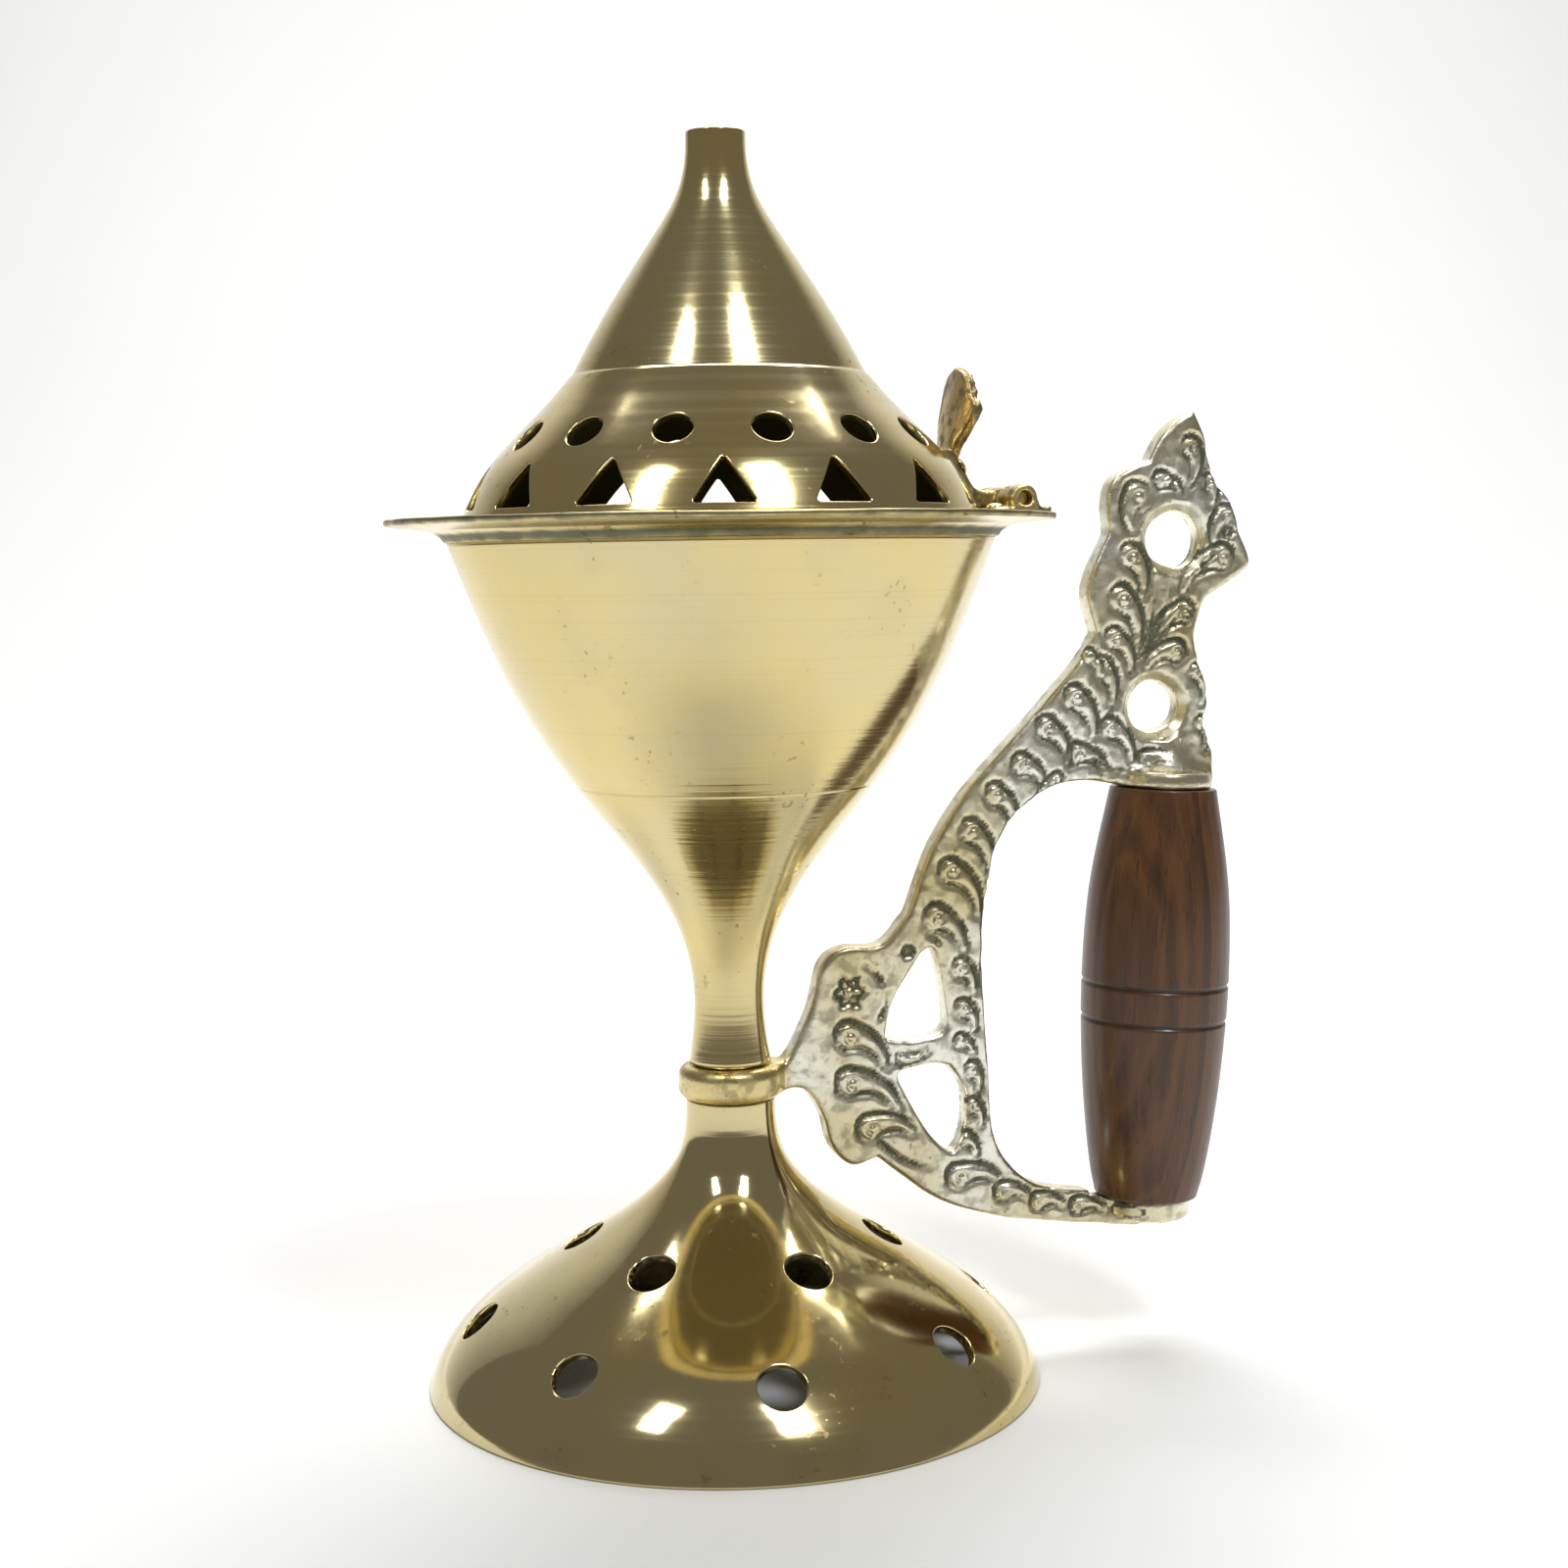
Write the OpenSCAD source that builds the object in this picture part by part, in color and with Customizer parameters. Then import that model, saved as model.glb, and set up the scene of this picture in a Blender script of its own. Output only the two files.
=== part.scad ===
// Hand censer: a footed brass incense burner with a hinged, pierced lid,
// a pierced bell foot and a cast side handle that carries a turned wooden grip.
//
// Frame: Z is the turning axis of foot, bowl and lid, and z = 0 is the foot's
// resting face. The handle stands out along +X. All sizes are millimetres.

/* [Foot] */
// Radius of the foot at its resting edge
foot_r = 47.3; // [36:0.1:60]
// Height of the foot, up to the collar
foot_h = 44; // [36:0.5:56]
// Radius of the foot's neck, under the collar
neck_r = 6.9; // [5.5:0.1:9]
// Wall of the foot
foot_wall = 1.5; // [1:0.1:2.2]
// Diameter of the foot's vent holes
foot_hole_d = 7.2; // [4:0.1:9]
// Number of holes in the foot's lower row
foot_low_holes = 8; // [4:1:10]
// Number of holes in the foot's upper row
foot_high_holes = 6; // [3:1:7]

/* [Bowl] */
// Height of the bowl, from the collar to the rim ring
bowl_h = 80.2; // [64:0.1:98]
// Outer radius of the bowl's mouth
mouth_r = 41.3; // [34:0.1:50]
// Radius of the bowl's stem at its waist
stem_r = 5.3; // [4.6:0.1:7]
// Wall of the bowl
bowl_wall = 1.6; // [1.2:0.1:2.2]
// How far the rim ring stands out past the bowl
rim_overhang = 9; // [6:0.5:12]
// Thickness of the rim ring where it meets the bowl
rim_t = 3.4; // [2.6:0.1:5]
// Thickness of the rim ring at its outer edge
rim_edge_t = 0.9; // [0.6:0.1:1.4]

/* [Lid] */
// Height of the lid's dome
dome_h = 20.8; // [17:0.1:26]
// Height of the spire above the dome, with its chimney
spire_h = 36.1; // [29:0.1:44]
// Radius of the dome's shoulder, where the spire starts
shoulder_r = 22.5; // [18:0.1:26]
// Outer radius of the chimney
chimney_r = 4.5; // [3.8:0.1:6]
// Wall of the lid
lid_wall = 1.2; // [0.9:0.1:1.6]
// Number of triangles, and of round holes, round the lid
lid_holes = 14; // [8:2:16]
// Diameter of the lid's round holes
lid_hole_d = 5.8; // [4:0.1:6.5]
// Width of a triangle at its base
triangle_w = 9; // [5:0.1:10]
// Height of a triangle
triangle_h = 6.4; // [4:0.1:7]

/* [Hinge] */
// Radius of the hinge's knuckles
knuckle_r = 2; // [1.8:0.1:2.4]
// Radius of the hinge pin
pin_r = 1.1; // [0.8:0.05:1.3]
// Whole length of the hinge
hinge_w = 25; // [22:0.5:30]
// Width of the lid's own knuckle
lever_knuckle_w = 11; // [9.5:0.5:12]
// Height of the thumb leaf above the strap
leaf_h = 14; // [11.5:0.5:17]
// Width of the thumb leaf
leaf_w = 16; // [12:0.5:20]
// Thickness of the thumb leaf
leaf_t = 2; // [1.5:0.1:2.5]

/* [Handle] */
// Height of the collar ring that is clamped between foot and bowl
collar_h = 5.3; // [4:0.1:7]
// Outer radius of the collar ring
collar_r = 8; // [7.5:0.1:10]
// Thickness of the handle's flat casting
plate_t = 4.6; // [3.5:0.1:6]
// Clear room between the rim ring and the middle of the ornament's eyelets
hand_room = 23; // [20:0.5:30]
// Height of the casting above the collar's underside
handle_h = 105; // [90:0.5:126]
// Diameter of the upper eyelet
eye_high_d = 9; // [7:0.1:9.5]
// Diameter of the lower eyelet
eye_low_d = 8.6; // [7:0.1:9.5]
// Greatest radius of the wooden grip
grip_r = 11.8; // [9.8:0.1:14.2]
// Radius of the grip's ends
grip_end_r = 8.2; // [6.5:0.1:9.5]
// Radius of the rod through the grip
rod_r = 2.5; // [2:0.1:3]

/* [Fittings] */
// Radius of the stud that holds foot, collar and bowl together
stud_r = 3; // [2.5:0.1:3.6]
// Width of the nut across its flats
nut_af = 10; // [9:0.5:13]
// Thickness of the nut
nut_t = 5; // [4:0.5:6]
// Thickness of the washer
washer_t = 1.2; // [0.8:0.1:2]
// Depth of the charcoal screen's dish
screen_depth = 4; // [3:0.5:6]
// Sheet thickness of the charcoal screen
screen_t = 0.8; // [0.6:0.1:1.2]
// Diameter of the screen's holes
screen_hole_d = 3; // [2:0.1:3.2]

/* [Hidden] */
$fn = 96;

// Clearances
stud_gap = 0.15;   // stud in the holes that it only passes through
run_gap = 0.05;    // lid's knuckle on the hinge pin, radially
side_gap = 0.3;    // between neighbouring knuckles
seat_gap = 0.2;    // lid's hem above the rim ring, screen in the bowl
through = 1;       // how far a cut runs past the face that it opens

// Curves as [share of the radius span, share of the height]
FOOT_CURVE = [
    [1, 0], [0.995, 0.04], [0.97, 0.09], [0.9, 0.18], [0.8, 0.27], [0.66, 0.36], [0.5, 0.455],
    [0.335, 0.545], [0.19, 0.635], [0.08, 0.73], [0.025, 0.81], [0.003, 0.89], [0, 1]
];
BOWL_CURVE = [
    [0.03, 0], [0.014, 0.045], [0, 0.13], [0.02, 0.205], [0.075, 0.28], [0.192, 0.37],
    [0.336, 0.455], [0.478, 0.535], [0.617, 0.625], [0.758, 0.735], [0.87, 0.85], [0.95, 0.94], [1, 1]
];
DOME_CURVE = [[1, 0], [0.94, 0.105], [0.775, 0.34], [0.46, 0.61], [0.185, 0.83], [0, 1]];
SPIRE_CURVE = [
    [1, 0], [0.9, 0.095], [0.695, 0.27], [0.44, 0.465], [0.21, 0.635], [0.08, 0.745],
    [0.017, 0.85], [0, 0.93], [0, 1]
];
GRIP_CURVE = [[0, 0], [0.2, 0.04], [0.52, 0.15], [0.84, 0.32], [1, 0.53], [0.82, 0.76], [0.08, 1]];

// The handle casting's outline, run by run, in its own flat frame: x from the
// turning axis, y from the collar's underside, on a casting 105 high whose
// eyelets stand 73.3 from the axis. Neighbouring runs meet in a corner.
HANDLE_H = 105;
EYE_X = 73.3;
HANDLE_RUNS = [
    [[5, 0.8], [5, 5]],
    [[8, 5.2], [9.5, 7.2], [12.5, 13.3], [14.5, 20.3], [18, 22.5], [24, 22.8], [28.5, 27.3]],
    [[28.5, 27.3], [32.7, 38], [39, 47], [48, 56.1], [56.5, 65.2], [60, 70.3]],
    [[60, 70.3], [58.5, 77.5], [62.3, 86]],
    [[62.3, 86], [62, 90], [62.8, 93.8], [65.5, 96], [69, 97.3]],
    [[69, 97.3], [71, 100.8], [74, 103.8], [76.7, 105]],
    [[76.7, 105], [78.4, 101.3], [79.2, 97], [81, 93.3]],
    [[81, 93.3], [83.5, 90], [84.4, 86]],
    [[84.4, 86], [86.4, 81.4], [84.5, 79], [78.5, 75.3]],
    [[78.5, 75.3], [76.8, 70], [77.8, 65]],
    [[77.8, 65], [79.2, 60], [78.2, 55.3]],
    [[78.2, 55.3], [80, 50.3], [79.8, 46.5]],
    [[79, 45.9], [63.5, 46.2]],
    [
        [63.5, 46.2], [57, 47], [51, 45.5], [45.2, 40.8], [42.3, 34.3], [40.9, 26], [40.8, 16],
        [41.5, 4], [42.3, -8], [44.8, -13.5], [50, -17.6], [60, -19.6]
    ],
    [[60, -19.6], [74, -21.3]],
    [[74.6, -21.6], [74.9, -24], [72.5, -25.7], [68, -25.8]],
    [[68, -25.8], [53, -23.8], [42.5, -22], [34, -19], [28, -15], [23, -11]],
    [[23, -11], [19, -12], [15.8, -9], [14.3, -4], [11.5, 0.4], [8, 0.8]]
];
UPPER_OPENING = [
    [[24.3, 7.7], [26, 13.8], [30.5, 21]],
    [[30.5, 21], [32.3, 21.6], [33.5, 18.3], [34.6, 11]],
    [[34.6, 11], [34, 8.3], [29, 7.3], [24.3, 7.7]]
];
LOWER_OPENING = [
    [[27, 2.4], [27, 0.3], [32, -8.2], [35.7, -11], [37.6, -6.5], [37.4, -1], [35, 2.8]],
    [[35, 2.8], [32, 3.4], [27, 2.4]]
];
EYE_HIGH = [73.4, 84.8];   // centre of the upper eyelet
EYE_LOW = [70, 58.4];      // centre of the lower eyelet
GRIP_FOOT = [69.2, -21];   // where the grip's axis meets the lower arm
GRIP_HEAD = [72.3, 45.4];  // where the grip's axis meets the lug

// Derived places
collar_z = foot_h;
bowl_z = collar_z + collar_h;
mouth_z = bowl_z + bowl_h;
rim_top = mouth_z + rim_t;
rim_r = mouth_r + rim_overhang;
rim_ledge = 4.5;           // how far the rim ring reaches in over the mouth
rim_bore_r = mouth_r - rim_ledge;
lid_seat = 2.1;            // how far the hem lies outside the ring's bore
lid_r = rim_bore_r + lid_seat;
lid_z = rim_top + seat_gap;
dome_top = lid_z + dome_h;
lid_top = dome_top + spire_h;
dome_step = 0.3;           // step in at the foot of the spire

foot_ceiling = foot_h * 0.68;
nut_z = foot_ceiling - washer_t - nut_t;
stud_tail = 1.5;           // stud left below the nut
stud_grip = 12;            // stud inside the bowl's stem
washer_r = nut_af * 0.62;

knuckle_lift = 0.35;       // air under the lid's knuckle
hinge_inset = 6.1;         // pin's axis inside the rim's edge
hinge_x = rim_r - hinge_inset;
hinge_z = rim_top + knuckle_lift + knuckle_r;
base_plate_t = 1;
pin_recess = 1.5;          // how far the pin's ends stay inside the knuckles
base_knuckle_w = (hinge_w - lever_knuckle_w) / 2 - side_gap;
base_pad_x = lid_r + 0.4;  // inner edge of the plate's two ears, just clear of the hem
rivet_r = 1;
rivet_head_r = 1.5;
rivet_head_h = 0.7;
base_rivet_x = hinge_x - knuckle_r - rivet_head_r;
base_rivet_y = hinge_w / 2 - 3.6;
base_rivet_depth = 1.4;    // shank driven into the rim ring

strap_t = 1.8;
strap_w = 9;
strap_low = 0.8;           // strap's lower edge above the hem
strap_h = 9;               // height that the strap covers on the dome
leaf_lean = 9;             // thumb leaf's lean, away from the spire
lever_rivet_y = 3.2;
lever_rivet_h = 6.4;       // above the hem

height_k = handle_h / HANDLE_H;
reach_k = (rim_r + hand_room - collar_r) / (EYE_X - 8);
grip_foot = on_handle(GRIP_FOOT);
grip_head = on_handle(GRIP_HEAD);
grip_lean = atan2(grip_head.x - grip_foot.x, grip_head.y - grip_foot.y);
grip_h = norm(grip_head - grip_foot);
pad_r = 7.4;               // round pads that hold the grip's ends
low_pad_t = 3.6;
lug_pad_t = 2.6;
lug_cone_h = 5;
rod_in_lug = 8;
grip_gap = 0.1;            // air between the grip and its pads
collar_bulge = 0.9;        // roundness of the collar's outer face
eye_sink_r = 1.3;          // countersink's reach past the eyelet
eye_sink_depth = 1.4;

screen_z = bowl_z + bowl_h * 0.63;
screen_lip = 1.2;
screen_rows = 3;
foot_low_z = 11.5 / 44 * foot_h;
foot_high_z = 22.3 / 44 * foot_h;
lid_hole_z = lid_z + dome_h * 0.56;
triangle_z = lid_z + 1.1;

// ---------------------------------------------------------------- functions

// A point of the smooth curve through p, at t (0 to 1) of span i
function span(a, b, c, d, t) =
    0.5 * (2 * b + (c - a) * t + (2 * a - 5 * b + 4 * c - d) * t * t + (3 * b - a - 3 * c + d) * t * t * t);

// A smooth curve through the points p, with n steps between neighbours
function smooth(p, n) = let (last = len(p) - 1) [
    for (i = [0 : last - 1])
        for (s = [0 : n - 1])
            span(p[max(i - 1, 0)], p[i], p[i + 1], p[min(i + 2, last)], s / n),
    p[last]
];

// A normalised curve laid between two radii and two heights
function profile(curve, r0, r1, z0, h, n = 2) =
    smooth([for (c = curve) [r0 + (r1 - r0) * c.x, z0 + h * c.y]], n);

// The same profile moved square to itself, to its inner side by w
function inset(p, w) = [
    for (i = [0 : len(p) - 1])
        let (
            t = p[min(i + 1, len(p) - 1)] - p[max(i - 1, 0)],
            u = t / norm(t)
        ) p[i] - w * [u.y, -u.x]
];

function reverse(p) = [for (i = [len(p) - 1 : -1 : 0]) p[i]];
function above(p, z) = [for (q = p) if (q.y > z) q];
function below(p, z) = [for (q = p) if (q.y < z) q];

// Radius of a rising profile at a height
function radius_at(p, z) =
    lookup(z, [for (q = p) [q.y, q.x]]);

// Angle of the outward normal above the horizontal, at a height
function tilt_at(p, z) = atan2(radius_at(p, z - 0.5) - radius_at(p, z + 0.5), 1);

// From the handle's own flat frame to [x, z] on the censer
function on_handle(p) = [collar_r + (p.x - 8) * reach_k, collar_z + p.y * height_k];
function handle_outline(runs, n = 4) = [for (run = runs) each [for (p = smooth(run, n)) on_handle(p)]];

foot_outer = profile(FOOT_CURVE, neck_r, foot_r, 0, foot_h);
bowl_outer = profile(BOWL_CURVE, stem_r, mouth_r, bowl_z, bowl_h);
bowl_inner = inset(bowl_outer, bowl_wall);
dome_outer = profile(DOME_CURVE, shoulder_r, lid_r, lid_z, dome_h, 3);
spire_outer = profile(SPIRE_CURVE, chimney_r, shoulder_r - dome_step, dome_top, spire_h);

// ------------------------------------------------------------------ helpers

// Copies of the children at n equal turns about Z, the first at start
module ring_of(n, start = 0) {
    for (i = [0 : n - 1]) rotate([0, 0, start + 360 * i / n]) children();
}

// A round cutter square to a shell's surface at height z
module shell_drill(p, z, d, wall) {
    translate([radius_at(p, z), 0, z])
        rotate([0, 90 - tilt_at(p, z), 0])
            translate([0, 0, -wall * 3])
                cylinder(h = wall * 6, d = d);
}

// A flat shape drawn in [x, z], given thickness t across Y
module across_y(t) {
    translate([0, t / 2, 0]) rotate([90, 0, 0]) linear_extrude(height = t) children();
}

// Puts the children on the grip's axis, with z = 0 at the lower arm's top
module on_grip_axis() {
    translate([grip_foot.x, 0, grip_foot.y]) rotate([0, grip_lean, 0]) children();
}

// A rivet's shank from z = 0 to t, with its head on top
module rivet(t) {
    cylinder(h = t, r = rivet_r, $fn = 32);
    translate([0, 0, t]) cylinder(h = rivet_head_h, r = rivet_head_r, $fn = 32);
}

// Puts the children on the lid's wall at a rivet, with +Z pointing outwards
module at_lever_rivet(side) {
    z = lid_z + lever_rivet_h;
    turn = asin(side * lever_rivet_y / radius_at(dome_outer, z));
    rotate([0, 0, turn])
        translate([radius_at(dome_outer, z), 0, z])
            rotate([0, 90 - tilt_at(dome_outer, z), 0])
                children();
}

// -------------------------------------------------------------------- parts

// Bell foot: one turned shell with a solid neck and a flat ceiling for the washer
module foot() {
    inner = below(inset(foot_outer, foot_wall), foot_ceiling - 0.5);
    bore = stud_r + stud_gap;
    color("darkkhaki") difference() {
        rotate_extrude() polygon(concat(
            foot_outer,
            [[bore, foot_h], [bore, foot_ceiling], [inner[len(inner) - 1].x - 0.5, foot_ceiling]],
            reverse([for (p = inner) [p.x, max(p.y, 0)]])
        ));
        ring_of(foot_low_holes, -4) shell_drill(foot_outer, foot_low_z, foot_hole_d, foot_wall);
        ring_of(foot_high_holes, -15) shell_drill(foot_outer, foot_high_z, foot_hole_d, foot_wall);
    }
}

// Stud that draws bowl, collar and foot together
module stem_stud() {
    low = nut_z - stud_tail;
    color("goldenrod") translate([0, 0, low]) cylinder(h = bowl_z + stud_grip - low, r = stud_r);
}

module foot_washer() {
    color("goldenrod") translate([0, 0, foot_ceiling - washer_t]) difference() {
        cylinder(h = washer_t, r = washer_r);
        translate([0, 0, -through]) cylinder(h = washer_t + 2 * through, r = stud_r + stud_gap);
    }
}

module foot_nut() {
    color("goldenrod") translate([0, 0, nut_z]) difference() {
        cylinder(h = nut_t, d = nut_af / cos(30), $fn = 6);
        translate([0, 0, -through]) cylinder(h = nut_t + 2 * through, r = stud_r);
    }
}

// Collar ring, openwork plate, arm, lug and eyelet ornament, all one casting
module handle_casting() {
    color("khaki") difference() {
        union() {
            translate([0, 0, collar_z]) rotate_extrude() polygon(concat(
                [[stud_r + stud_gap, 0]],
                [for (a = [-60 : 20 : 60]) [
                    collar_r - collar_bulge * (1 - cos(a)) * 2, collar_h / 2 * (1 + sin(a) / sin(60))
                ]],
                [[stud_r + stud_gap, collar_h]]
            ));
            across_y(plate_t) difference() {
                polygon(handle_outline(HANDLE_RUNS));
                polygon(handle_outline(UPPER_OPENING));
                polygon(handle_outline(LOWER_OPENING));
            }
            on_grip_axis() {
                translate([0, 0, -low_pad_t]) cylinder(h = low_pad_t, r = pad_r);
                translate([0, 0, grip_h]) cylinder(h = lug_pad_t, r = pad_r);
                translate([0, 0, grip_h + lug_pad_t]) cylinder(h = lug_cone_h, r1 = pad_r, r2 = plate_t / 2);
            }
        }
        // the stud passes through; foot, bowl, grip and rod keep their room
        translate([0, 0, collar_z - through]) cylinder(h = collar_h + 2 * through, r = stud_r + stud_gap);
        for (z = [collar_z - collar_h, bowl_z]) translate([0, 0, z]) cylinder(h = collar_h, r = collar_r - 0.2);
        on_grip_axis() {
            cylinder(h = grip_h, r = pad_r + 3);
            translate([0, 0, -low_pad_t - through * 3]) cylinder(h = low_pad_t + through * 4, r = rod_r);
            translate([0, 0, grip_h - through]) cylinder(h = rod_in_lug + through, r = rod_r);
        }
        eyelet(EYE_HIGH, eye_high_d);
        eyelet(EYE_LOW, eye_low_d);
    }
}

// A countersunk hole through the plate, sunk on the -Y face
module eyelet(place, d) {
    c = on_handle(place);
    translate([c.x, 0, c.y]) rotate([90, 0, 0]) {
        translate([0, 0, -plate_t]) cylinder(h = plate_t * 2, d = d);
        translate([0, 0, plate_t / 2 - eye_sink_depth])
            cylinder(h = eye_sink_depth + 0.01, d1 = d, d2 = d + 2 * eye_sink_r);
    }
}

// Turned barrel grip, bored for the rod
module grip() {
    bore = rod_r + stud_gap;
    color("sienna") on_grip_axis() translate([0, 0, grip_gap]) rotate_extrude() polygon(concat(
        profile(GRIP_CURVE, grip_end_r, grip_r, 0, grip_h - 2 * grip_gap, 3),
        [[bore, grip_h - 2 * grip_gap], [bore, 0]]
    ));
}

module grip_rod() {
    color("goldenrod") on_grip_axis()
        translate([0, 0, -low_pad_t]) cylinder(h = low_pad_t + grip_h + rod_in_lug, r = rod_r);
}

// Bowl: a turned cup that runs down into a solid stem
module bowl() {
    floor_z = bowl_z + bowl_h * 0.34;
    inner = above(bowl_inner, floor_z + 0.5);
    mouth_in = mouth_r - bowl_wall;
    color("palegoldenrod") rotate_extrude() polygon(concat(
        [[stud_r, bowl_z + stud_grip], [stud_r, bowl_z]],
        bowl_outer,
        [[mouth_in, mouth_z]],
        reverse(below(inner, mouth_z - 1)),
        [[inner[0].x - 1, floor_z], [0, floor_z], [0, bowl_z + stud_grip]]
    ));
}

// Flange ring brazed on the bowl's mouth; the lid's hem rests on it
module rim_ring() {
    root_z = rim_top - rim_edge_t * 1.8;
    color("khaki") difference() {
        rotate_extrude() polygon([
            [rim_bore_r, rim_top],
            [rim_r - 0.3, rim_top],
            [rim_r, rim_top - rim_edge_t / 2],
            [rim_r - 0.3, rim_top - rim_edge_t],
            [mouth_r + 2.5, root_z],
            [mouth_r + 0.4, mouth_z],
            [mouth_r - bowl_wall, mouth_z],
            [rim_bore_r, root_z]
        ]);
        for (side = [-1, 1]) at_base_rivet(side) translate([0, 0, -base_rivet_depth])
            cylinder(h = base_rivet_depth + through, r = rivet_r, $fn = 32);
    }
}

// Pierced dish that carries the charcoal, dropped loose into the bowl's cone
module charcoal_screen() {
    lip_z = screen_z + screen_depth;
    lip_r = radius_at(bowl_inner, lip_z - screen_t) - seat_gap * 1.5;
    floor_r = radius_at(bowl_inner, screen_z) - screen_t - 2.4;
    pitch = floor_r / (screen_rows + 0.6);
    color("darkgoldenrod") difference() {
        rotate_extrude() polygon([
            [0, screen_z], [floor_r, screen_z], [lip_r - screen_lip, lip_z - screen_t],
            [lip_r, lip_z - screen_t], [lip_r, lip_z],
            [lip_r - screen_lip - screen_t * 0.4, lip_z], [floor_r - screen_t * 0.4, screen_z + screen_t],
            [0, screen_z + screen_t]
        ]);
        for (row = [1 : screen_rows])
            ring_of(6 * row) translate([pitch * row, 0, screen_z - through])
                cylinder(h = screen_t + 2 * through, d = screen_hole_d, $fn = 24);
        translate([0, 0, screen_z - through])
            cylinder(h = screen_t + 2 * through, d = screen_hole_d, $fn = 24);
    }
}

// Fixed half of the hinge: a plate on the rim ring with two ears and two end knuckles
module hinge_base() {
    plate_out = rim_r - 0.4;
    color("khaki") difference() {
        union() {
            intersection() {
                translate([hinge_x, -hinge_w / 2, rim_top])
                    cube([plate_out - hinge_x, hinge_w, base_plate_t]);
                translate([0, 0, rim_top]) cylinder(h = base_plate_t, r = plate_out);
            }
            for (side = [-1, 1]) {
                base_knuckle(side);
                translate([base_pad_x, side * (hinge_w - base_knuckle_w) / 2 - base_knuckle_w / 2, rim_top])
                    cube([hinge_x - base_pad_x, base_knuckle_w, base_plate_t]);
            }
        }
        // room for the lid's knuckle, and the pin's seat
        along_pin(lever_knuckle_w + 2 * side_gap) circle(r = knuckle_r + side_gap);
        along_pin(hinge_w + 2 * through) circle(r = pin_r);
        for (side = [-1, 1]) at_base_rivet(side) translate([0, 0, -through])
            cylinder(h = base_plate_t + 2 * through, r = rivet_r, $fn = 32);
    }
}

// A flat shape extruded along the hinge's axis, centred on it
module along_pin(w) {
    translate([hinge_x, 0, hinge_z]) rotate([90, 0, 0]) linear_extrude(height = w, center = true) children();
}

module base_knuckle(side) {
    translate([0, side * (hinge_w - base_knuckle_w) / 2, 0]) along_pin(base_knuckle_w) {
        circle(r = knuckle_r);
        translate([0, rim_top - hinge_z]) square([knuckle_r, hinge_z - rim_top]);
    }
}

module at_base_rivet(side) {
    translate([base_rivet_x, side * base_rivet_y, rim_top]) children();
}

module base_rivets() {
    color("goldenrod") for (side = [-1, 1]) at_base_rivet(side)
        translate([0, 0, -base_rivet_depth]) rivet(base_rivet_depth + base_plate_t);
}

module hinge_pin() {
    color("goldenrod") along_pin(hinge_w - 2 * pin_recess) circle(r = pin_r);
}

// Pierced lid: dome, spire and open chimney in one turned shell
module lid() {
    dome_inner = inset(dome_outer, lid_wall);
    spire_inner = inset(spire_outer, lid_wall);
    chimney_bore = chimney_r - lid_wall;
    chimney_low = dome_top + spire_h * 0.82;
    color("darkkhaki") difference() {
        rotate_extrude() polygon(concat(
            dome_outer,
            spire_outer,
            [[chimney_bore, lid_top], [chimney_bore, chimney_low]],
            reverse(below(above(spire_inner, dome_top + 0.5), chimney_low - 1)),
            reverse(below(above(dome_inner, lid_z + 0.5), dome_top - 0.5)),
            [[lid_r - lid_wall, lid_z]]
        ));
        ring_of(lid_holes, 180 / lid_holes)
            shell_drill(dome_outer, lid_hole_z, lid_hole_d, lid_wall);
        ring_of(lid_holes) triangle_cut();
        for (side = [-1, 1]) at_lever_rivet(side)
            translate([0, 0, -lid_wall * 2]) cylinder(h = lid_wall * 4, r = rivet_r, $fn = 32);
    }
}

// One triangular window, cut straight outwards through the dome's wall
module triangle_cut() {
    translate([shoulder_r, 0, triangle_z]) rotate([90, 0, 90]) linear_extrude(height = lid_r)
        polygon([[-triangle_w / 2, 0], [triangle_w / 2, 0], [0, triangle_h]]);
}

// Moving half of the hinge: knuckle, strap on the dome and thumb leaf
module thumb_lever() {
    low = lid_z + strap_low;
    high = low + strap_h;
    strap = above(below(profile(DOME_CURVE, shoulder_r, lid_r, lid_z, dome_h, 3), high), low);
    color("khaki") difference() {
        union() {
            intersection() {
                rotate_extrude() polygon(concat(strap, reverse(inset(strap, -strap_t))));
                translate([0, -strap_w / 2, low]) cube([lid_r * 2, strap_w, strap_h]);
            }
            along_pin(lever_knuckle_w) circle(r = knuckle_r);
            // tongue from the knuckle to the strap
            translate([lid_r - 0.4, -strap_w / 2, hinge_z - 1.2]) cube([hinge_x - lid_r, strap_w, 2.6]);
            leaf();
        }
        along_pin(lever_knuckle_w + 2 * through) circle(r = pin_r + run_gap);
        rotate_extrude() polygon(concat([[0, lid_z - 1], [lid_r, lid_z - 1]], dome_outer, [[0, dome_top]]));
        for (side = [-1, 1]) at_lever_rivet(side)
            translate([0, 0, -strap_t]) cylinder(h = strap_t * 4, r = rivet_r, $fn = 32);
    }
}

// Upright thumb leaf, standing on the strap's top
module leaf() {
    root_z = lid_z + strap_low + strap_h - 1.2;
    root_x = radius_at(dome_outer, root_z) + strap_t * 0.65;
    half = leaf_w / 2;
    side = smooth([[3, 0], [4.2, 2.5], [half, leaf_h * 0.45], [half * 0.72, leaf_h * 0.75], [0, leaf_h]], 4);
    translate([root_x, 0, root_z]) rotate([0, leaf_lean, 0]) rotate([90, 0, 90])
        linear_extrude(height = leaf_t)
            polygon(concat(side, reverse([for (p = side) if (p.x > 0) [-p.x, p.y]])));
}

module lever_rivets() {
    color("goldenrod") for (side = [-1, 1]) at_lever_rivet(side)
        translate([0, 0, -lid_wall]) rivet(lid_wall + strap_t);
}

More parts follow.
